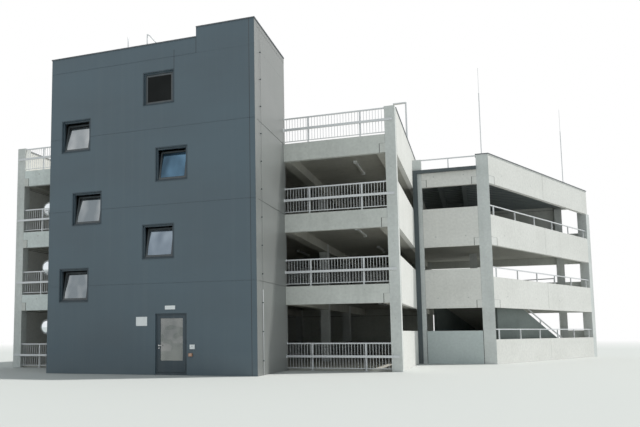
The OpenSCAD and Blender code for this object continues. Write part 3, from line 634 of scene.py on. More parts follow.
class Bench:
    """Modelling with Blender's own operators, with each place kept in the mesh."""

    @staticmethod
    def select(*objects: Piece) -> None:
        """Select only these objects, the first one active.

        Args:
            objects: The objects to select.
        """
        bpy.ops.object.select_all(action="DESELECT")
        for item in objects:
            item.select_set(True)
        bpy.context.view_layer.objects.active = objects[0]

    @staticmethod
    def settle(name: str) -> Piece:
        """Name the new active object and move its place into its mesh.

        Args:
            name: The piece's name.

        Returns:
            The piece.
        """
        piece = bpy.context.object
        piece.name = piece.data.name = name
        bpy.ops.object.transform_apply(location=True, rotation=True, scale=True)
        return piece

    @classmethod
    @contextmanager
    def editing(cls, piece: Piece,
                wanted: Optional[Callable[[bpy.types.MeshPolygon], bool]] = None) -> Iterator[None]:
        """Keep a piece in edit mode with the wanted faces selected, or all of them.

        Args:
            piece: The mesh object.
            wanted: Says for a face whether it is selected.
        """
        cls.select(piece)
        bpy.ops.object.mode_set(mode="EDIT")
        bpy.ops.mesh.select_mode(type="FACE")
        bpy.ops.mesh.select_all(action="DESELECT" if wanted else "SELECT")
        if wanted:
            bpy.ops.object.mode_set(mode="OBJECT")
            for face in piece.data.polygons:
                face.select = wanted(face)
            bpy.ops.object.mode_set(mode="EDIT")
        yield
        bpy.ops.object.mode_set(mode="OBJECT")

    @classmethod
    def slab(cls, name: str, low: Point, high: Point, bevel: float) -> Piece:
        """A box between two corners with broken edges.

        Args:
            name: The piece's name.
            low: The low corner.
            high: The high corner.
            bevel: Width of the broken edges.

        Returns:
            The box.
        """
        low, high = Vector(low), Vector(high)
        bpy.ops.mesh.primitive_cube_add(size=1, location=(low + high) / 2, scale=high - low)
        piece = cls.settle(name)
        with cls.editing(piece):
            bpy.ops.mesh.bevel(offset=bevel, segments=1, affect="EDGES")
        return piece

    @classmethod
    def rod(cls, name: str, start: Point, end: Point, radius: float, sides: int = 12) -> Piece:
        """A round bar between two points, with its end edges broken.

        Args:
            name: The piece's name.
            start: The middle of one end.
            end: The middle of the other end.
            radius: The bar's radius.
            sides: Number of sides.

        Returns:
            The bar.
        """
        start, end = Vector(start), Vector(end)
        along = end - start
        bpy.ops.mesh.primitive_cylinder_add(vertices=sides, radius=radius, depth=along.length,
                                            location=(start + end) / 2,
                                            rotation=along.to_track_quat("Z", "Y").to_euler())
        piece = cls.settle(name)
        axis = along.normalized()
        with cls.editing(piece, lambda face: abs(face.normal.dot(axis)) > 0.9):
            bpy.ops.mesh.bevel(offset=radius * 0.12, segments=1, affect="EDGES")
        for face in piece.data.polygons:
            face.use_smooth = abs(face.normal.dot(axis)) < 0.5
        return piece

    @classmethod
    def sink(cls, piece: Piece, normal: Point, border: float, depth: float) -> None:
        """Inset the faces that look along a normal, and push the middle in.

        Args:
            piece: The mesh object.
            normal: The way the faces look.
            border: Width of the rim that stays.
            depth: How far the middle goes in, or out where it is negative.
        """
        toward = Vector(normal)
        with cls.editing(piece, lambda face: face.normal.dot(toward) > 0.95):
            bpy.ops.mesh.inset(thickness=border, depth=-depth, use_individual=False)

    @classmethod
    def bolted(cls, name: str, low: Point, high: Point, bolts: Iterable[Point], along: Point,
               bolt_r: float = 0.009, bevel: float = 0.002) -> Piece:
        """A plate with its bolts.

        Args:
            name: The piece's name.
            low: The plate's low corner.
            high: The plate's high corner.
            bolts: Where each bolt starts.
            along: From a bolt's start to its end.
            bolt_r: Radius of the six-sided bolts.
            bevel: Width of the plate's broken edges.

        Returns:
            The plate and the bolts as one piece.
        """
        parts = [cls.slab("plate", low, high, bevel)]
        parts += [cls.rod("bolt", start, Vector(start) + Vector(along), bolt_r, 6) for start in bolts]
        return cls.join(name, parts)

    @classmethod
    def repeat(cls, piece: Piece, matrices: Iterable[Matrix]) -> Piece:
        """Copy a piece with its mesh to each place and join the copies; the first piece is removed.

        Args:
            piece: The piece to copy.
            matrices: From the piece to each place.

        Returns:
            The joined copies.
        """
        name = piece.name
        copies = []
        for matrix in matrices:
            copy = piece.copy()
            copy.data = piece.data.copy()
            copy.data.transform(matrix)
            bpy.context.collection.objects.link(copy)
            copies.append(copy)
        bpy.data.objects.remove(piece)
        return cls.join(name, copies)

    @classmethod
    def join(cls, name: str, parts: Sequence[Piece]) -> Piece:
        """Join parts into one piece.

        Args:
            name: The joined piece's name.
            parts: The parts.

        Returns:
            The joined piece.
        """
        cls.select(*parts)
        if len(parts) > 1:
            bpy.ops.object.join()
        piece = bpy.context.object
        piece.name = piece.data.name = name
        return piece


@dataclass
class Assembly:
    """A sub-assembly that dresses and mounts its own pieces."""

    shop: PaintShop
    slot: str = ""
    pieces: list[str] = field(default_factory=list)

    def mount(self, piece: Piece, finish: str, slot: str = "", body: str = BODY) -> None:
        """Paint a piece and let it ride on a body.

        Args:
            piece: The piece.
            finish: The finish's name.
            slot: The record's slot, if it isn't the assembly's own; not used.
            body: The body it rides on.
        """
        self.shop.paint(piece, finish)
        slot or self.slot
        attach(piece, body)
        self.pieces.append(piece.name)
        log.info("piece %s: %d faces, %s, on %s", piece.name, len(piece.data.polygons), finish, body)


@dataclass
class Precast(Assembly):
    """Joints, seams and filled lifting sockets of the concrete pieces."""

    slot: str = "concrete_panels"
    joint_w: float = 0.024
    seam_w: float = 0.010
    proud: float = 0.003
    beam_h: float = 0.72
    ledge_h: float = 0.36
    ledge_l: float = 0.22
    slant_ledge_l: float = 0.55
    corner_in: float = 0.012
    over_ledge: float = 0.02
    ground_h: float = 1.52
    gap: float = 0.02
    filler_in: float = 0.012
    filler_edge: float = 0.002
    patch_r: float = 0.035
    patch_drop: float = 0.2
    stub_patch_drop: float = 0.25
    rear_patch_in: float = 1.2
    left_patch_in: float = 1.1
    beam_patches: tuple = (0.9, 3.1, BLOCK_LEFT + 1.2, BLOCK_LEFT + 3.2)
    stub_patches: tuple = (5.4, 6.75)
    slant_patches: tuple = (1.4, 4.7, 7.7, 11.2)
    column_patches: tuple = (2.0, 4.9, 7.8)

    def strip(self, a: Vector, b: Vector, toward: Vector, width: float) -> Piece:
        """A sealant strip on a face from a to b, the face looking toward.

        Args:
            a: One end.
            b: The other end.
            toward: The way the face looks.
            width: The strip's width.

        Returns:
            The strip.
        """
        along = (b - a).normalized()
        half = Vector(((b - a).length / 2, width / 2, self.proud))
        strip = Bench.slab("joint", -half, half, self.proud / 2)
        turn = Matrix((along, toward.cross(along), toward)).transposed().to_4x4()
        strip.data.transform(Matrix.Translation((a + b) / 2) @ turn)
        return strip

    def upright(self, x: float, y: float, ends: Point, toward: Vector, width: float) -> Piece:
        """An upright strip between two heights."""
        return self.strip(site(x, y, ends[0]), site(x, y, ends[1]), toward, width)

    def notch(self, corner: Vector, along: Vector, toward: Vector, top: float) -> tuple[list, list]:
        """The joints of a panel's end over a ledge.

        Args:
            corner: Where the column's edge meets the ledge's underside.
            along: From the column into the panel, as long as the ledge.
            toward: The way the face looks.
            top: Height of the panel's top.

        Returns:
            The open joint beside the ledge, and the two closed seams over it.
        """
        up = Vector((0, 0, self.ledge_h))
        inner, ledge = corner + along, corner + up
        head = Vector((corner.x, corner.y, top))
        return ([self.strip(inner, inner + up, toward, self.joint_w)],
                [self.strip(ledge, inner + up, toward, self.seam_w),
                 self.strip(ledge, head, toward, self.seam_w)])

    def notches(self) -> tuple[list, list]:
        """The open joints and the closed seams of all panel ends that sit on ledges.

        Returns:
            The open joints, and the closed seams.
        """
        outward = Vector((math.cos(WING_ANGLE), -math.sin(WING_ANGLE), 0))
        ledge = Vector((self.ledge_l, 0, 0))
        slant_ledge = slant(self.slant_ledge_l, 0, 0) - slant(0, 0, 0)
        found = []
        for level, foot in zip(LEVELS[1:], PANEL_FEET):
            z = level - self.beam_h
            top = level + PARAPET_H if level < TOP_DECK else FASCIA_TOP
            found += [self.notch(site(BLOCK_RIGHT - COL, FRONT_Y, z), -ledge, FRONT, level),
                      self.notch(site(BLOCK_LEFT + COL, FRONT_Y, z), ledge, FRONT, level),
                      self.notch(site(WING_X - CORNER_COL, STUB_Y, foot), -ledge, FRONT, top),
                      self.notch(slant(self.corner_in, 0, foot), slant_ledge, outward,
                                 foot + self.ledge_h + self.over_ledge)]
        found.append(self.notch(site(BLOCK_RIGHT + COL, STUB_Y, PANEL_FEET[-1]), ledge, FRONT, FASCIA_TOP))
        joints, seams = zip(*found)
        return sum(joints, []), sum(seams, [])

    def edges(self) -> list[Piece]:
        """The plain seams where panels meet the columns beside them.

        Returns:
            The strips.
        """
        left, right, rear = Vector((-1, 0, 0)), Vector((1, 0, 0)), Vector((0, 1, 0))
        places = []
        for level, foot in zip(LEVELS[1:], PANEL_FEET):
            ends = (foot, level + PARAPET_H)
            places.append((BLOCK_RIGHT, FRONT_Y + COL, ends, right))
            if level < TOP_DECK:
                places.append((BLOCK_RIGHT + COL, STUB_Y, ends, FRONT))
        ends = (0.0, TOP_DECK + PARAPET_H)
        places += [(BLOCK_LEFT, y, ends, left) for span in LEFT_SPANS for y in span]
        places += [(x, REAR_Y, ends, rear) for span in REAR_SPANS for x in span]
        return [self.upright(*place, self.seam_w) for place in places]

    def ground_joints(self) -> list[Piece]:
        """The dark upright joints at both ends of the wing's low ground panel."""
        return [self.upright(x, STUB_Y, (0.0, self.ground_h), FRONT, self.joint_w)
                for x in (BLOCK_RIGHT + COL, WING_X - CORNER_COL)]

    def fillers(self) -> Piece:
        """Sealant in the level joints of the closed walls and in the upright one of the slanted face.

        Returns:
            The joined piece.
        """
        gap, front, back = self.gap, self.filler_in, PANEL_T - self.filler_in
        y0, y1 = REAR_Y - back, REAR_Y - front
        x0, x1 = BLOCK_LEFT + front, BLOCK_LEFT + back
        boxes = [((a, y0, z - gap), (b, y1, z)) for a, b in REAR_SPANS for z in PANEL_FEET[:2]]
        boxes += [((x0, a, z - gap), (x1, b, z)) for a, b in LEFT_SPANS for z in PANEL_FEET]
        z = TOP_DECK - DECK_T
        entrance_x = slant(WING_LEN, FAR_COL, 0).x + MID_X - END_PANEL - COL
        boxes.append(((BLOCK_RIGHT, y0, z - gap), (entrance_x, y1, z)))
        parts = [Bench.slab("filler", site(*low), site(*high), self.filler_edge) for low, high in boxes]
        for foot, top in zip((0.0, *PANEL_FEET), SLANT_TOPS):
            strip = Bench.slab("filler", (-gap / 2, front, foot), (gap / 2, back, top), self.filler_edge)
            strip.data.transform(on_slant((WING_LEN - FAR_COL) / 2, 0, 0))
            parts.append(strip)
        return Bench.join("joint_fillers", parts)

    def patches(self) -> Piece:
        """Round mortar fillings over the lifting sockets, two to a panel and on the columns.

        Returns:
            The joined piece.
        """
        cap = Bench.rod("lifting_patches", (0, -0.002, 0), (0, 0.004, 0), self.patch_r, 16)
        rear_in, left_in = self.rear_patch_in, self.left_patch_in
        places = []
        for level in LEVELS[1:]:
            z = level - self.patch_drop
            places += [at(x, REAR_Y, z, math.pi) for a, b in REAR_SPANS for x in (a + rear_in, b - rear_in)]
            places += [at(BLOCK_LEFT, y, z, -math.pi / 2)
                       for a, b in LEFT_SPANS for y in (a + left_in, b - left_in)]
            places += [at(x, FRONT_Y, z) for x in self.beam_patches]
            places += [at(x, STUB_Y, level - self.stub_patch_drop) for x in self.stub_patches]
            places += [on_slant(s, 0, z) for s in self.slant_patches]
        columns = ((BLOCK_RIGHT - COL / 2, FRONT_Y), (BLOCK_LEFT + COL / 2, FRONT_Y),
                   (WING_X - CORNER_COL / 2, STUB_Y))
        places += [at(x, y, z) for z in self.column_patches for x, y in columns]
        return Bench.repeat(cap, places)

    def build(self) -> None:
        """Make the joints and the patches."""
        joints, seams = self.notches()
        self.mount(Bench.join("panel_joints", joints + self.ground_joints()), "joint_sealant")
        self.mount(Bench.join("panel_seams", seams + self.edges()), "seam_mortar")
        self.mount(self.fillers(), "joint_sealant")
        self.mount(self.patches(), "patch_mortar")


class View(Enum):
    """What a window pane shows from outside: painted reflections of sky and cloud, or the painted shade of
    a dark room.
    """

    PALE = "pale_glass"
    CLOUD = "cloud_glass"
    BLUE = "blue_glass"
    DARK = "dark_glass"


@dataclass(frozen=True)
class Window:
    """A window of the tower: its lower left corner, its view and whether it stands open."""

    x: float
    z: float
    view: View
    tilted: bool = True


# The first three cross the seams at the decks
WINDOWS = (Window(-7.97, 2.71, View.PALE), Window(-7.44, 5.65, View.PALE), Window(-7.97, 8.56, View.PALE),
           Window(-4.41, 4.22, View.CLOUD), Window(-3.88, 7.10, View.BLUE),
           Window(-4.41, 10.05, View.DARK, tilted=False))


@dataclass
class StairTower(Assembly):
    """Cladding trims, roof fittings and the conductor of the stair tower."""

    slot: str = "tower_cladding"
    trim_w: float = 0.25
    trim_t: float = 0.004
    joint_w: float = 0.016
    joint_t: float = 0.004
    short_joint: tuple = (-3.15, 11.2, 12.06)
    corner_line: float = 0.2
    seam_z: float = 11.8
    seam_w: float = 0.024
    seam_d: float = 0.015
    strip_in: float = 0.008
    raised_w: float = 2.26
    lip_w: float = 0.04
    flashing_h: float = 0.19
    conductor_x: float = 0.03
    conductor_y: float = 0.63
    conductor_top: float = TOWER_H + 0.3
    conductor_foot: float = 3.0
    wire_r: float = 0.005
    tube_r: float = 0.014
    first_clamp: float = 0.5
    clamp_gap: float = 1.02
    bar_y: float = 0.14
    bar_r: float = 0.022
    hand_bar: tuple = ((-4.34, 12.30), (-4.34, 12.90), (-4.26, 12.86), (-3.94, 12.50), (-3.80, 12.43))
    roof_post: tuple = ((-5.16, 12.30), (-5.16, 12.92))

    def corner_trims(self) -> Piece:
        """Folded trims on the sides, along the two front corners, as wide as the front wall is thick.

        Returns:
            The joined piece.
        """
        t, w, top = self.trim_t, self.trim_w, TOWER_H + RAISED_H - self.flashing_h
        parts = [Bench.slab("trim", site(0, -t / 2, 0), site(t, w, top), t / 4),
                 Bench.slab("trim", site(-TOWER_W - t, -t / 2, 0), site(-TOWER_W, w, TOWER_H), t / 4)]
        return Bench.join("corner_trims", parts)

    def in_seam(self, name: str, z: float, low: Point, high: Point) -> Piece:
        """A strip as high as the seam at z, between two corners seen from above."""
        half = self.seam_w / 2 - HAIR
        return Bench.slab(name, site(*low, z - half), site(*high, z + half), HAIR / 2)

    def seam_strips(self) -> Piece:
        """Strips set back in the front's seams, left out where a window crosses the seam.

        Returns:
            The joined piece.
        """
        ends = [(self.seam_z, -TOWER_W, -self.raised_w)]
        for z, window in zip(LEVELS[1:], WINDOWS):
            ends += [(z, -TOWER_W, window.x - self.lip_w), (z, window.x + WINDOW_W + self.lip_w, 0.0)]
        return Bench.join("front_seam_strips", [
            self.in_seam("strip", z, (x0, self.strip_in), (x1, self.seam_d)) for z, x0, x1 in ends])

    def flashing(self) -> Piece:
        """The folded band under the coping on the right side.

        Returns:
            The band.
        """
        top, t = TOWER_H + RAISED_H, self.trim_t
        band = Bench.slab("top_flashing", site(0, 0, top - self.flashing_h), site(t, TOWER_D, top), t / 4)
        Bench.sink(band, (0, 0, -1), t / 4, -0.003)
        return band

    def cladding_joints(self) -> Piece:
        """Upright joints of the front's cladding: two near the top, and one along the right corner.

        Returns:
            The joined piece.
        """
        rows = (self.short_joint, (-self.raised_w, self.seam_z, TOWER_H),
                (-self.corner_line, 0.0, TOWER_H + RAISED_H))
        w, t = self.joint_w / 2, self.joint_t / 2
        return Bench.join("cladding_joints", [
            Bench.slab("joint", site(x - w, -t, z0), site(x + w, t, z1), self.joint_t / 5)
            for x, z0, z1 in rows])

    def roof_bars(self) -> Piece:
        """A bent hand bar and a post that stand behind the roof's edge.

        Returns:
            The joined piece.
        """
        return Bench.join("roof_bars", [
            Bench.rod("bar", site(x0, self.bar_y, z0), site(x1, self.bar_y, z1), self.bar_r, 10)
            for line in (self.hand_bar, self.roof_post) for (x0, z0), (x1, z1) in zip(line, line[1:])])

    def conductor(self, name: str, top: float, radius: float, sides: int) -> Piece:
        """The earthing wire down the tower's right side, or the tube that guards its foot."""
        x, y = self.conductor_x, self.conductor_y
        return Bench.rod(name, site(x, y, 0.0), site(x, y, top), radius, sides)

    def clamps(self) -> Piece:
        """The wire's clamps, one block on a stud a metre apart.

        Returns:
            The joined piece.
        """
        parts = [Bench.slab("clamp", (0.012, -0.022, -0.02), (0.046, 0.022, 0.02), 0.004),
                 Bench.rod("clamp_stud", (0, 0, 0), (0.014, 0, 0), 0.018, 10)]
        return Bench.repeat(Bench.join("conductor_clamps", parts), [
            at(0, self.conductor_y, self.first_clamp + k * self.clamp_gap)
            for k in range(int(TOWER_H / self.clamp_gap))])

    def build(self) -> None:
        """Make the trims, seam covers, joints, bars, wire and clamps."""
        # Trims, seam cover, band and wire on the side wear the lighter side paint, which is painted
        # sunlight.
        self.mount(self.corner_trims(), "side_cladding")
        for name, finish, low, high in (
                ("front_seam_cover", "front_cladding", (-self.raised_w, 0.0), (-HAIR, self.seam_d)),
                ("side_seam_cover", "side_cladding", (-self.seam_d, 0.0), (0.0, TOWER_D - HAIR))):
            self.mount(self.in_seam(name, self.seam_z, low, high), finish)
        self.mount(self.flashing(), "side_cladding")
        self.mount(self.cladding_joints(), "rubber_seal")
        self.mount(self.roof_bars(), "galvanised", "galvanised_steel")
        self.mount(self.seam_strips(), "front_cladding")
        self.mount(self.conductor("conductor_wire", self.conductor_top, self.wire_r, 10), "side_cladding")
        self.mount(self.conductor("conductor_tube", self.conductor_foot, self.tube_r, 12), "galvanised",
                   "galvanised_steel")
        self.mount(self.clamps(), "gutter_metal")


@dataclass
class Windows(Assembly):
    """Panes, seals, sills and linings of the tower's windows."""

    slot: str = "window_metal"
    bar: float = 0.06
    sash_bar: float = 0.06
    play: float = 0.005
    sash_y: float = 0.14
    hinge_in: float = 0.05
    tilt: float = math.radians(12)
    sill_out: float = 0.02
    lip_w: float = 0.035
    lip_t: float = 0.003

    def to_sash(self, window: Window) -> Matrix:
        """From a sash's own frame to its place in the wall.

        Args:
            window: The window it belongs to.

        Returns:
            The matrix.
        """
        turn = Matrix.Rotation(-self.tilt if window.tilted else 0.0, 4, "X")
        corner = at(window.x + self.bar + self.play, self.sash_y, window.z + self.bar)
        return corner @ turn @ Matrix.Translation((0, -self.hinge_in, 0))

    def glazing(self, name: str, inset: float, depths: Point, bevel: float) -> Piece:
        """A slab that fills a sash's opening less an inset, between two depths.

        Args:
            name: The slab's name.
            inset: How far it stays inside the sash's bars.
            depths: Where its front and its back lie.
            bevel: Width of the broken edges.

        Returns:
            The slab, in the sash's own frame.
        """
        low = self.sash_bar + inset
        right, top = (size - 2 * self.bar - 2 * self.play - low for size in (WINDOW_W, WINDOW_H))
        return Bench.slab(name, (low, depths[0], low), (right, depths[1], top), bevel)

    def pane(self, number: int, window: Window) -> Piece:
        """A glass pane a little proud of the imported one, with ground edges.

        Args:
            number: The pane's number.
            window: The window it belongs to.

        Returns:
            The pane.
        """
        pane = self.glazing(f"window_pane_{number}", HAIR, (0.012, 0.038), 0.002)
        pane.data.transform(self.to_sash(window))
        return pane

    def seal(self, window: Window) -> Piece:
        """A black rubber ring round a pane, on its outer side.

        Args:
            window: The window it belongs to.

        Returns:
            The ring.
        """
        ring = self.glazing("seal", 0.0, (0.004, 0.013), 0.001)
        with Bench.editing(ring, lambda face: abs(face.normal.y) > 0.95):
            bpy.ops.mesh.inset(thickness=0.014, depth=0, use_individual=False)
            bpy.ops.mesh.bridge_edge_loops()
        ring.data.transform(self.to_sash(window))
        return ring

    def sill(self, window: Window) -> Piece:
        """A folded sill with a drip edge under a window.

        Args:
            window: The window it belongs to.

        Returns:
            The sill.
        """
        x, z, out = window.x, window.z, self.sill_out
        sill = Bench.slab("sill", site(x - out, -0.028, z - 0.012),
                          site(x + WINDOW_W + out, 0.07, z + 0.006), 0.002)
        Bench.sink(sill, (0, 0, -1), 0.006, 0.004)
        return sill

    def lining(self, window: Window) -> Piece:
        """A lip of thin metal on the wall's face, over the opening and at both sides.

        Args:
            window: The window it belongs to.

        Returns:
            The joined piece.
        """
        left, right, lip = window.x, window.x + WINDOW_W, self.lip_w
        foot, top = window.z, window.z + WINDOW_H
        return Bench.join("lining", [
            Bench.slab("lip", site(x0, -self.lip_t, z0), site(x1, HAIR, z1), self.lip_t / 3)
            for x0, x1, z0, z1 in ((left - lip, right + lip, top, top + lip),
                                   (left - lip, left, foot, top), (right, right + lip, foot, top))])

    def build(self) -> None:
        """Make the panes, seals, sills and linings of all windows."""
        for number, window in enumerate(WINDOWS, 1):
            self.mount(self.pane(number, window), window.view.value)
        for name, make, finish in (("window_seals", self.seal, "rubber_seal"),
                                   ("window_sills", self.sill, "window_metal"),
                                   ("window_linings", self.lining, "window_metal")):
            self.mount(Bench.join(name, [make(window) for window in WINDOWS]), finish)


@dataclass
class Entrance(Assembly):
    """The entrance's lock, blank plates, wall box and wall bowl."""

    slot: str = "tower_cladding"
    bowl_x: float = -2.495
    bowl_z: float = 0.72
    bowl_r: float = 0.085
    bowl_h: float = 0.11
    lock_x: float = DOOR_X + 0.06 + 0.006 + 0.055
    lock_z: float = 0.955
    lock_r: float = 0.026

    def wall_piece(self, name: str, span: Point, depths: Point, bevel: float, sunk: Point) -> Piece:
        """A plate or box on the wall's face with a sunk front.

        Args:
            name: The piece's name.
            span: Its left, right, foot and top.
            depths: How far its front and its back lie behind the wall's face.
            bevel: Width of the broken edges.
            sunk: Border and depth of the sunk part.

        Returns:
            The piece.
        """
        left, right, foot, top = span
        piece = Bench.slab(name, site(left, depths[0], foot), site(right, depths[1], top), bevel)
        Bench.sink(piece, FRONT, *sunk)
        return piece

    def plates(self) -> Piece:
        """Two blank white plates, over the door and to its left.

        Returns:
            The joined piece.
        """
        return Bench.join("blank_plates", [
            self.wall_piece("plate", (-3.49, -3.09, 2.34, 2.48), (-0.02, HAIR), 0.004, (0.012, 0.002)),
            self.wall_piece("plate", (-4.66, -4.21, 1.76, 2.09), (-0.012, HAIR), 0.003, (0.012, 0.002))])

    def wall_box(self) -> Piece:
        """A small white box right of the door with a sunk front."""
        return self.wall_piece("wall_box", (-2.51, -2.32, 0.92, 1.08), (-0.05, HAIR), 0.008, (0.045, 0.006))

    def box_square(self) -> Piece:
        """The small grey square in the white box."""
        return self.wall_piece("wall_box_square", (-2.433, -2.397, 0.983, 1.017), (-0.048, -0.043), 0.002,
                               (0.006, 0.001))

    def wall_bowl(self) -> Piece:
        """A half-round metal bowl on the wall under the box.

        Returns:
            The bowl.
        """
        middle = site(self.bowl_x, 0, self.bowl_z)
        bpy.ops.mesh.primitive_cylinder_add(vertices=32, radius=self.bowl_r, depth=self.bowl_h,
                                            location=middle)
        bowl = Bench.settle("wall_bowl")
        with Bench.editing(bowl):
            bpy.ops.mesh.bisect(plane_co=middle, plane_no=(0, 1, 0), use_fill=True, clear_outer=True)
        Bench.sink(bowl, (0, 0, 1), 0.008, 0.02)
        return bowl

    def lock(self) -> Piece:
        """The lock's cylinder under the handle.

        Returns:
            The lock.
        """
        x, z = self.lock_x, self.lock_z
        rose = Bench.rod("door_lock", site(x, 0.052, z), site(x, 0.0601, z), self.lock_r, 20)
        Bench.sink(rose, FRONT, 0.010, 0.003)
        return rose

    def build(self) -> None:
        """Make the entrance's fittings."""
        self.mount(self.plates(), "white_plastic")
        self.mount(self.wall_box(), "white_plastic")
        self.mount(self.box_square(), "grey_plastic")
        self.mount(self.wall_bowl(), "copper_brown", "handle_metal")
        self.mount(self.lock(), "brushed_handle", "handle_metal", DOOR_BODY)


@dataclass
class Railings(Assembly):
    """Foot plates, bolts and brackets of the railings and the crash rails."""

    slot: str = "galvanised_steel"
    posts: tuple = (0.96, 3.04)
    rail_y: float = FRONT_Y + PANEL_T / 2
    bracket_z: float = 1.08 - 0.025
    bracket_t: float = 0.006
    crash_z: float = 0.56
    crash_bolt_in: float = 0.04
    crash_bolt_step: float = 0.05

    def feet(self) -> Piece:
        """A bolted foot plate under each post.

        Returns:
            The joined piece.
        """
        foot = Bench.bolted("railing_feet", (-0.07, -0.045, 0), (0.07, 0.045, 0.01),
                            [(x, y, 0.009) for x in (-0.052, 0.052) for y in (-0.03, 0.03)], (0, 0, 0.015))
        xs = [BLOCK_RIGHT - COL - post for post in self.posts]
        xs += [BLOCK_LEFT + COL + post for post in self.posts]
        return Bench.repeat(foot, [at(x, self.rail_y, z) for z in RAIL_BASES for x in xs])

    def brackets(self) -> Piece:
        """End plates that hold the top rail to the column and to the tower.

        Returns:
            The joined piece.
        """
        t = self.bracket_t
        bracket = Bench.bolted("rail_brackets", (-t, -0.055, -0.06), (t, 0.055, 0.06),
                               [(-0.014, y, 0.035) for y in (-0.04, 0.04)], (0.028, 0, 0), bolt_r=0.008)
        xs = (BLOCK_RIGHT - COL - t, t, BLOCK_LEFT + COL + t, -TOWER_W - t)
        return Bench.repeat(bracket, [
            at(x, self.rail_y, z + self.bracket_z) for z in RAIL_BASES for x in xs])

    def crash_ends(self) -> Piece:
        """Bolted plates at the ends of the crash rails, on the tower's sides.

        Returns:
            The joined piece.
        """
        end = Bench.bolted("crash_rail_ends", (-0.002, -0.10, -0.075), (0.012, 0.02, 0.075),
                           [(0.010, -0.085, z) for z in (-0.06, 0.06)], (0.014, 0, 0), bevel=0.003)
        mirror = Matrix.Scale(-1, 4, (1, 0, 0))
        places = [at(HAIR, FRONT_Y, z + self.crash_z) for z in RAIL_BASES]
        places += [at(-TOWER_W - HAIR, FRONT_Y, z + self.crash_z) @ mirror for z in RAIL_BASES]
        ends = Bench.repeat(end, places)
        with Bench.editing(ends):
            bpy.ops.mesh.normals_make_consistent(inside=False)
        return ends

    def crash_bolts(self) -> Piece:
        """The crash rails' bolts over the front columns.

        Returns:
            The joined piece.
        """
        bolt = Bench.rod("crash_rail_bolts", (0, -0.010, 0), (0, 0.002, 0), 0.013, 6)
        reach, step = COL / 2 + self.crash_bolt_in, self.crash_bolt_step
        xs = [x + dx for x in (BLOCK_RIGHT - reach, BLOCK_LEFT + reach) for dx in (-step, step)]
        return Bench.repeat(bolt, [
            at(x, FRONT_Y - CRASH_D, z + self.crash_z) for z in RAIL_BASES for x in xs])

    def build(self) -> None:
        """Make the feet, brackets, end plates and bolts."""
        for piece in (self.feet(), self.brackets(), self.crash_ends(), self.crash_bolts()):
            self.mount(piece, "galvanised")


@dataclass
class Wing(Assembly):
    """Clips, straps and feet on the wing, and the cover strips of the copings."""

    slot: str = "gutter_metal"
    pipe_w: float = 0.21
    pipe_d: float = 0.15
    strap_t: float = 0.004
    strap_z: tuple = (0.5, 1.9, 3.4, 4.9, 6.4, 7.9)
    gutter_d: float = 0.17
    gutter_h: float = 0.15
    clip_x: float = 4.75
    clip_gap: float = 0.6
    clips: int = 5
    posts: int = 6
    cover_out: float = 0.03
    slant_covers: tuple = (3.2, 6.27, 9.0, 12.0)
    side_covers: tuple = (6.5, 9.5, 12.5, 15.5, 18.5, 21.5)

    def straps(self) -> Piece:
        """Straps round the downpipe, two to a storey.

        Returns:
            The joined piece.
        """
        t, depth = self.strap_t, self.pipe_d
        strap = Bench.slab("pipe_straps", (0, -t, -0.02), (self.pipe_w + t, depth, 0.02), 0.001)
        return Bench.repeat(strap, [at(BLOCK_RIGHT, STUB_Y - depth, z) for z in self.strap_z])

    def gutter_clips(self) -> Piece:
        """Clips over the gutter's front edge.

        Returns:
            The joined piece.
        """
        clip = Bench.slab("gutter_clips", (-0.012, -0.004, -0.10), (0.012, 0.03, 0.004), 0.001)
        y, z = STUB_Y - self.gutter_d, FASCIA_TOP + self.gutter_h
        return Bench.repeat(clip, [at(self.clip_x + k * self.clip_gap, y, z) for k in range(self.clips)])

    def handrail_feet(self) -> Piece:
        """Plates under the handrail posts on the slanted panels.

        Returns:
            The joined piece.
        """
        foot = Bench.bolted("handrail_feet", (-0.06, -0.05, 0), (0.06, 0.05, 0.008),
                            [(x, 0, 0.007) for x in (-0.045, 0.045)], (0, 0, 0.013))
        return Bench.repeat(foot, [on_slant(FIRST_POST + k * POST_GAP, PANEL_T / 2, z)
                                   for z in SLANT_TOPS[:3] for k in range(self.posts)])

    def coping_straps(self) -> Piece:
        """Cover strips over the joints of the copings, on the slanted face and on both sides.

        Returns:
            The joined piece.
        """
        cover = Bench.slab("coping_straps", (-0.05, -self.cover_out, 0.0),
                           (0.05, PANEL_T + self.cover_out, 0.044), 0.003)
        places = [on_slant(s, 0, WING_TOP) for s in self.slant_covers]
        places += [at(x, y, TOP_DECK + PARAPET_H, math.pi / 2)
                   for y in self.side_covers for x in (BLOCK_RIGHT, BLOCK_LEFT + PANEL_T)]
        return Bench.repeat(cover, places)

    def build(self) -> None:
        """Make the wing's small fittings."""
        self.mount(self.straps(), "gutter_metal")
        self.mount(self.gutter_clips(), "gutter_metal")
        self.mount(self.handrail_feet(), "galvanised", "galvanised_steel")
        self.mount(self.coping_straps(), "coping_metal", "coping_metal")


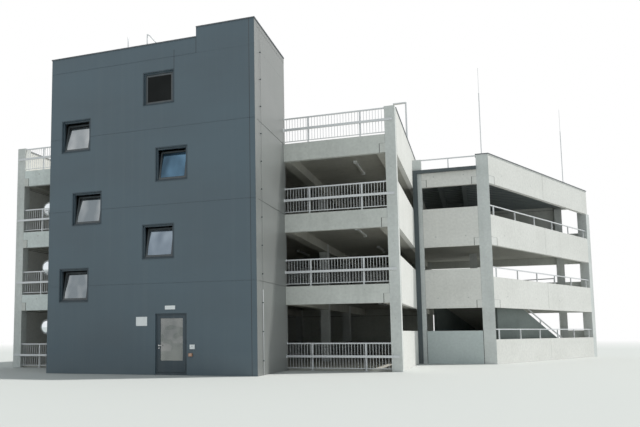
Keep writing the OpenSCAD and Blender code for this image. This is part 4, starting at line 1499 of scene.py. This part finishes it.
@dataclass
class Mirrors(Assembly):
    """The glass of the round convex mirrors."""

    slot: str = "mirror_back"
    x: float = BLOCK_LEFT + COL + 1.11
    y: float = FRONT_Y + 0.4
    ups: tuple = (1.75, 1.26, 1.09)
    radius: float = 0.305
    back_r: float = 0.33
    bulge: float = 0.05
    rings: int = 6
    glass_t: float = 0.003

    def dome(self, r: float) -> float:
        """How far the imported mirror's face stands out at a distance from its middle."""
        ball = (self.back_r ** 2 + self.bulge ** 2) / (2 * self.bulge)
        return math.sqrt(ball ** 2 - r ** 2) - ball + self.bulge

    def face(self) -> Piece:
        """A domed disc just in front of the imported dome, raised ring by ring from a circle.

        Returns:
            The disc.
        """
        bpy.ops.mesh.primitive_circle_add(vertices=40, radius=self.radius, fill_type="NGON",
                                          location=(0, -self.dome(self.radius) - HAIR, 0),
                                          rotation=(math.pi / 2, 0, 0))
        disc = Bench.settle("mirror_glass")
        with Bench.editing(disc):
            last = self.radius
            for k in range(1, self.rings + 1):
                r = self.radius * (1 - k / (self.rings + 0.5))
                bpy.ops.mesh.inset(thickness=last - r, depth=0)
                bpy.ops.transform.translate(value=(0, self.dome(last) - self.dome(r), 0))
                last = r
            bpy.ops.mesh.poke()
        for face in disc.data.polygons:
            face.use_smooth = True
        solid = disc.modifiers.new("thickness", "SOLIDIFY")
        solid.thickness = self.glass_t
        solid.offset = 1.0
        bpy.ops.object.modifier_apply(modifier=solid.name)
        return disc

    def build(self) -> None:
        """Make the three mirror faces."""
        places = [at(self.x, self.y, level + up) for level, up in zip(LEVELS, self.ups)]
        self.mount(Bench.repeat(self.face(), places), "mirror_face")


@dataclass
class Lights(Assembly):
    """Lenses of the lights under the decks and of the lamp on the top deck."""

    slot: str = "light_plastic"
    bays: int = 4
    light_x: float = 1.99
    light_l: float = 2.4
    light_h: float = 0.08
    lens_w: float = 0.084
    cap_l: float = 0.16
    lamp_x: float = BLOCK_RIGHT - 0.34
    lamp_y: float = 12.6
    lamp_z: float = TOP_DECK + 4.1
    lamp_w: float = 0.09

    def lenses(self) -> Piece:
        """A clear cover under each light, centred between two rows of columns.

        Returns:
            The joined piece.
        """
        w, z = self.lens_w / 2, -self.light_h
        lens = Bench.slab("light_lenses", (-w, self.cap_l, z - 0.012),
                          (w, self.light_l - self.cap_l, z + 0.002), 0.006)
        bay_x = (BLOCK_RIGHT - BLOCK_LEFT - COL) / self.bays
        rows = (FRONT_Y, *ROWS)
        return Bench.repeat(lens, [
            at(BLOCK_RIGHT - self.light_x - k * bay_x, (a + b - self.light_l) / 2, level - DECK_T)
            for level in LEVELS[1:] for k in range(self.bays) for a, b in zip(rows, rows[1:])])

    def lamp_lens(self) -> Piece:
        """The flat lens under the lamp's arm.

        Returns:
            The lens.
        """
        x, y, z, w = self.lamp_x, self.lamp_y, self.lamp_z, self.lamp_w / 2
        lens = Bench.slab("lamp_lens", site(x - 0.6, y - w, z - 0.068),
                          site(x - 0.18, y + w, z - 0.058), 0.004)
        Bench.sink(lens, (0, 0, -1), 0.012, 0.003)
        return lens

    def build(self) -> None:
        """Make the lenses."""
        self.mount(self.lenses(), "lens_plastic")
        self.mount(self.lamp_lens(), "lens_plastic")


@dataclass
class DeckDoors(Assembly):
    """Handles of the doors from the tower to the decks."""

    slot: str = "handle_metal"
    handle_x: float = -2.4 + 0.08
    handle_up: float = 1.02
    face_y: float = TOWER_D - 0.1

    def handles(self) -> Piece:
        """A lever handle on a long plate on each door.

        Returns:
            The joined piece.
        """
        plate = Bench.slab("plate", (-0.02, 0, -0.11), (0.02, 0.006, 0.11), 0.002)
        neck = Bench.rod("neck", (0, 0.005, 0.03), (0, 0.05, 0.03), 0.009, 12)
        lever = Bench.slab("lever", (-0.01, 0.042, 0.02), (0.12, 0.056, 0.04), 0.004)
        handle = Bench.join("deck_door_handles", [plate, neck, lever])
        return Bench.repeat(handle, [at(self.handle_x, self.face_y, z + self.handle_up) for z in LEVELS])

    def build(self) -> None:
        """Make the handles."""
        self.mount(self.handles(), "brushed_handle")


# Studio


@dataclass
class Studio:
    """Camera, lamps, world and floor."""

    focal_px: float = 684.23
    centre_px: tuple[float, float] = (229.15, 263.09)
    image_px: tuple[float, float] = (640.0, 427.0)
    yaw: float = math.radians(19.977)
    pitch: float = math.radians(5.926)
    roll: float = math.radians(-0.405)
    stand: tuple[float, float, float] = (7.171, -22.508, 1.440)
    sensor: float = 36.0
    sky_light: float = 0.58
    sky_color: Color = (0.88, 0.97, 1.0)
    key_light: float = 3.3
    key_angle: float = math.radians(2)
    key_color: Color = (1.0, 0.98, 0.945)
    key_toward: tuple[float, float, float] = (-0.459, -0.262, -1.0)
    floor_color: Color = (0.485, 0.50, 0.488)
    floor_r: float = 220.0
    floor_drop: float = 0.004
    fade: tuple[float, float] = (35.0, 95.0)

    def camera(self) -> None:
        """Stand the camera where the photograph was taken from."""
        sy, cy, sp, cp = math.sin(self.yaw), math.cos(self.yaw), math.sin(self.pitch), math.cos(self.pitch)
        ahead = Vector((-sy * cp, cy * cp, sp))
        right = Vector((cy, sy, 0))
        up = right.cross(ahead)
        c, s = math.cos(self.roll), math.sin(self.roll)
        right, up = c * right + s * up, c * up - s * right
        data = bpy.data.cameras.new("photo_camera")
        width, height = self.image_px
        data.sensor_width = self.sensor
        data.lens = self.focal_px / width * self.sensor
        data.shift_x = (width / 2 - self.centre_px[0]) / width
        data.shift_y = (self.centre_px[1] - height / 2) / width
        data.clip_end = 500.0
        camera = bpy.data.objects.new("photo_camera", data)
        turn = Matrix((right, up, -ahead)).transposed().to_4x4()
        camera.matrix_world = Matrix.Translation(site(*self.stand)) @ turn
        bpy.context.collection.objects.link(camera)
        bpy.context.scene.camera = camera

    def key(self) -> None:
        """A soft key light from high on the right, a little behind the front, as in the photograph."""
        data = bpy.data.lights.new("key", "SUN")
        data.energy, data.angle, data.color = self.key_light, self.key_angle, self.key_color
        lamp = bpy.data.objects.new("key", data)
        lamp.rotation_euler = Vector(self.key_toward).to_track_quat("-Z", "Y").to_euler()
        bpy.context.collection.objects.link(lamp)

    def world(self) -> None:
        """A soft sky that the camera, gloss and glass see as plain white."""
        world = bpy.data.worlds.new("studio")
        world.use_nodes = True
        bpy.context.scene.world = world
        tree = Tree(world.node_tree)
        rays = tree.add("LightPath").outputs
        clear = tree.math("MAXIMUM", rays["Is Glossy Ray"], rays["Is Transmission Ray"])
        seen = tree.math("MAXIMUM", rays["Is Camera Ray"], clear)
        tree.fill(tree.find("BACKGROUND"), {
            "Color": tree.blend(seen, self.sky_color, (1.0, 1.0, 1.0)),
            "Strength": tree.spread(seen, 0, 1, self.sky_light, 1.0)})

    def floor(self) -> None:
        """A wide pale floor that fades to white far off."""
        bpy.ops.mesh.primitive_circle_add(vertices=96, radius=self.floor_r, fill_type="NGON",
                                          location=(0, 0, -self.floor_drop))
        floor = Bench.settle("floor")
        material = bpy.data.materials.new("pale_floor")
        material.use_nodes = True
        tree = Tree(material.node_tree)
        shader = tree.fill(tree.find("BSDF_PRINCIPLED"), {"Base Color": self.floor_color, "Roughness": 0.9})
        length = tree.add("VectorMath", operation="LENGTH")
        tree.feed(length.inputs[0], tree.place())
        far = tree.times(tree.spread(length.outputs["Value"], *self.fade),
                         tree.add("LightPath").outputs["Is Camera Ray"])
        mix = tree.add("MixShader")
        for socket, value in zip(mix.inputs, (far, shader.outputs[0], tree.add("Emission").outputs[0])):
            tree.feed(socket, value)
        tree.feed(tree.find("OUTPUT_MATERIAL").inputs["Surface"], mix.outputs[0])
        floor.data.materials.append(material)

    def build(self) -> None:
        """Set up everything that isn't part of the building."""
        bpy.context.scene.view_settings.view_transform = "Standard"
        self.camera()
        self.key()
        self.world()
        self.floor()


def main() -> None:
    """Build the studio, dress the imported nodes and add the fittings."""
    logging.basicConfig(level=logging.INFO, format="%(name)s: %(message)s")
    Studio().build()
    shop = PaintShop()
    shop.dress_nodes()
    for kind in (Precast, StairTower, Windows, Entrance, Railings, Wing, Mirrors, Lights, DeckDoors):
        assembly = kind(shop)
        assembly.build()
        log.info("%s: %d pieces", kind.__name__, len(assembly.pieces))


if __name__ == "__main__":
    main()
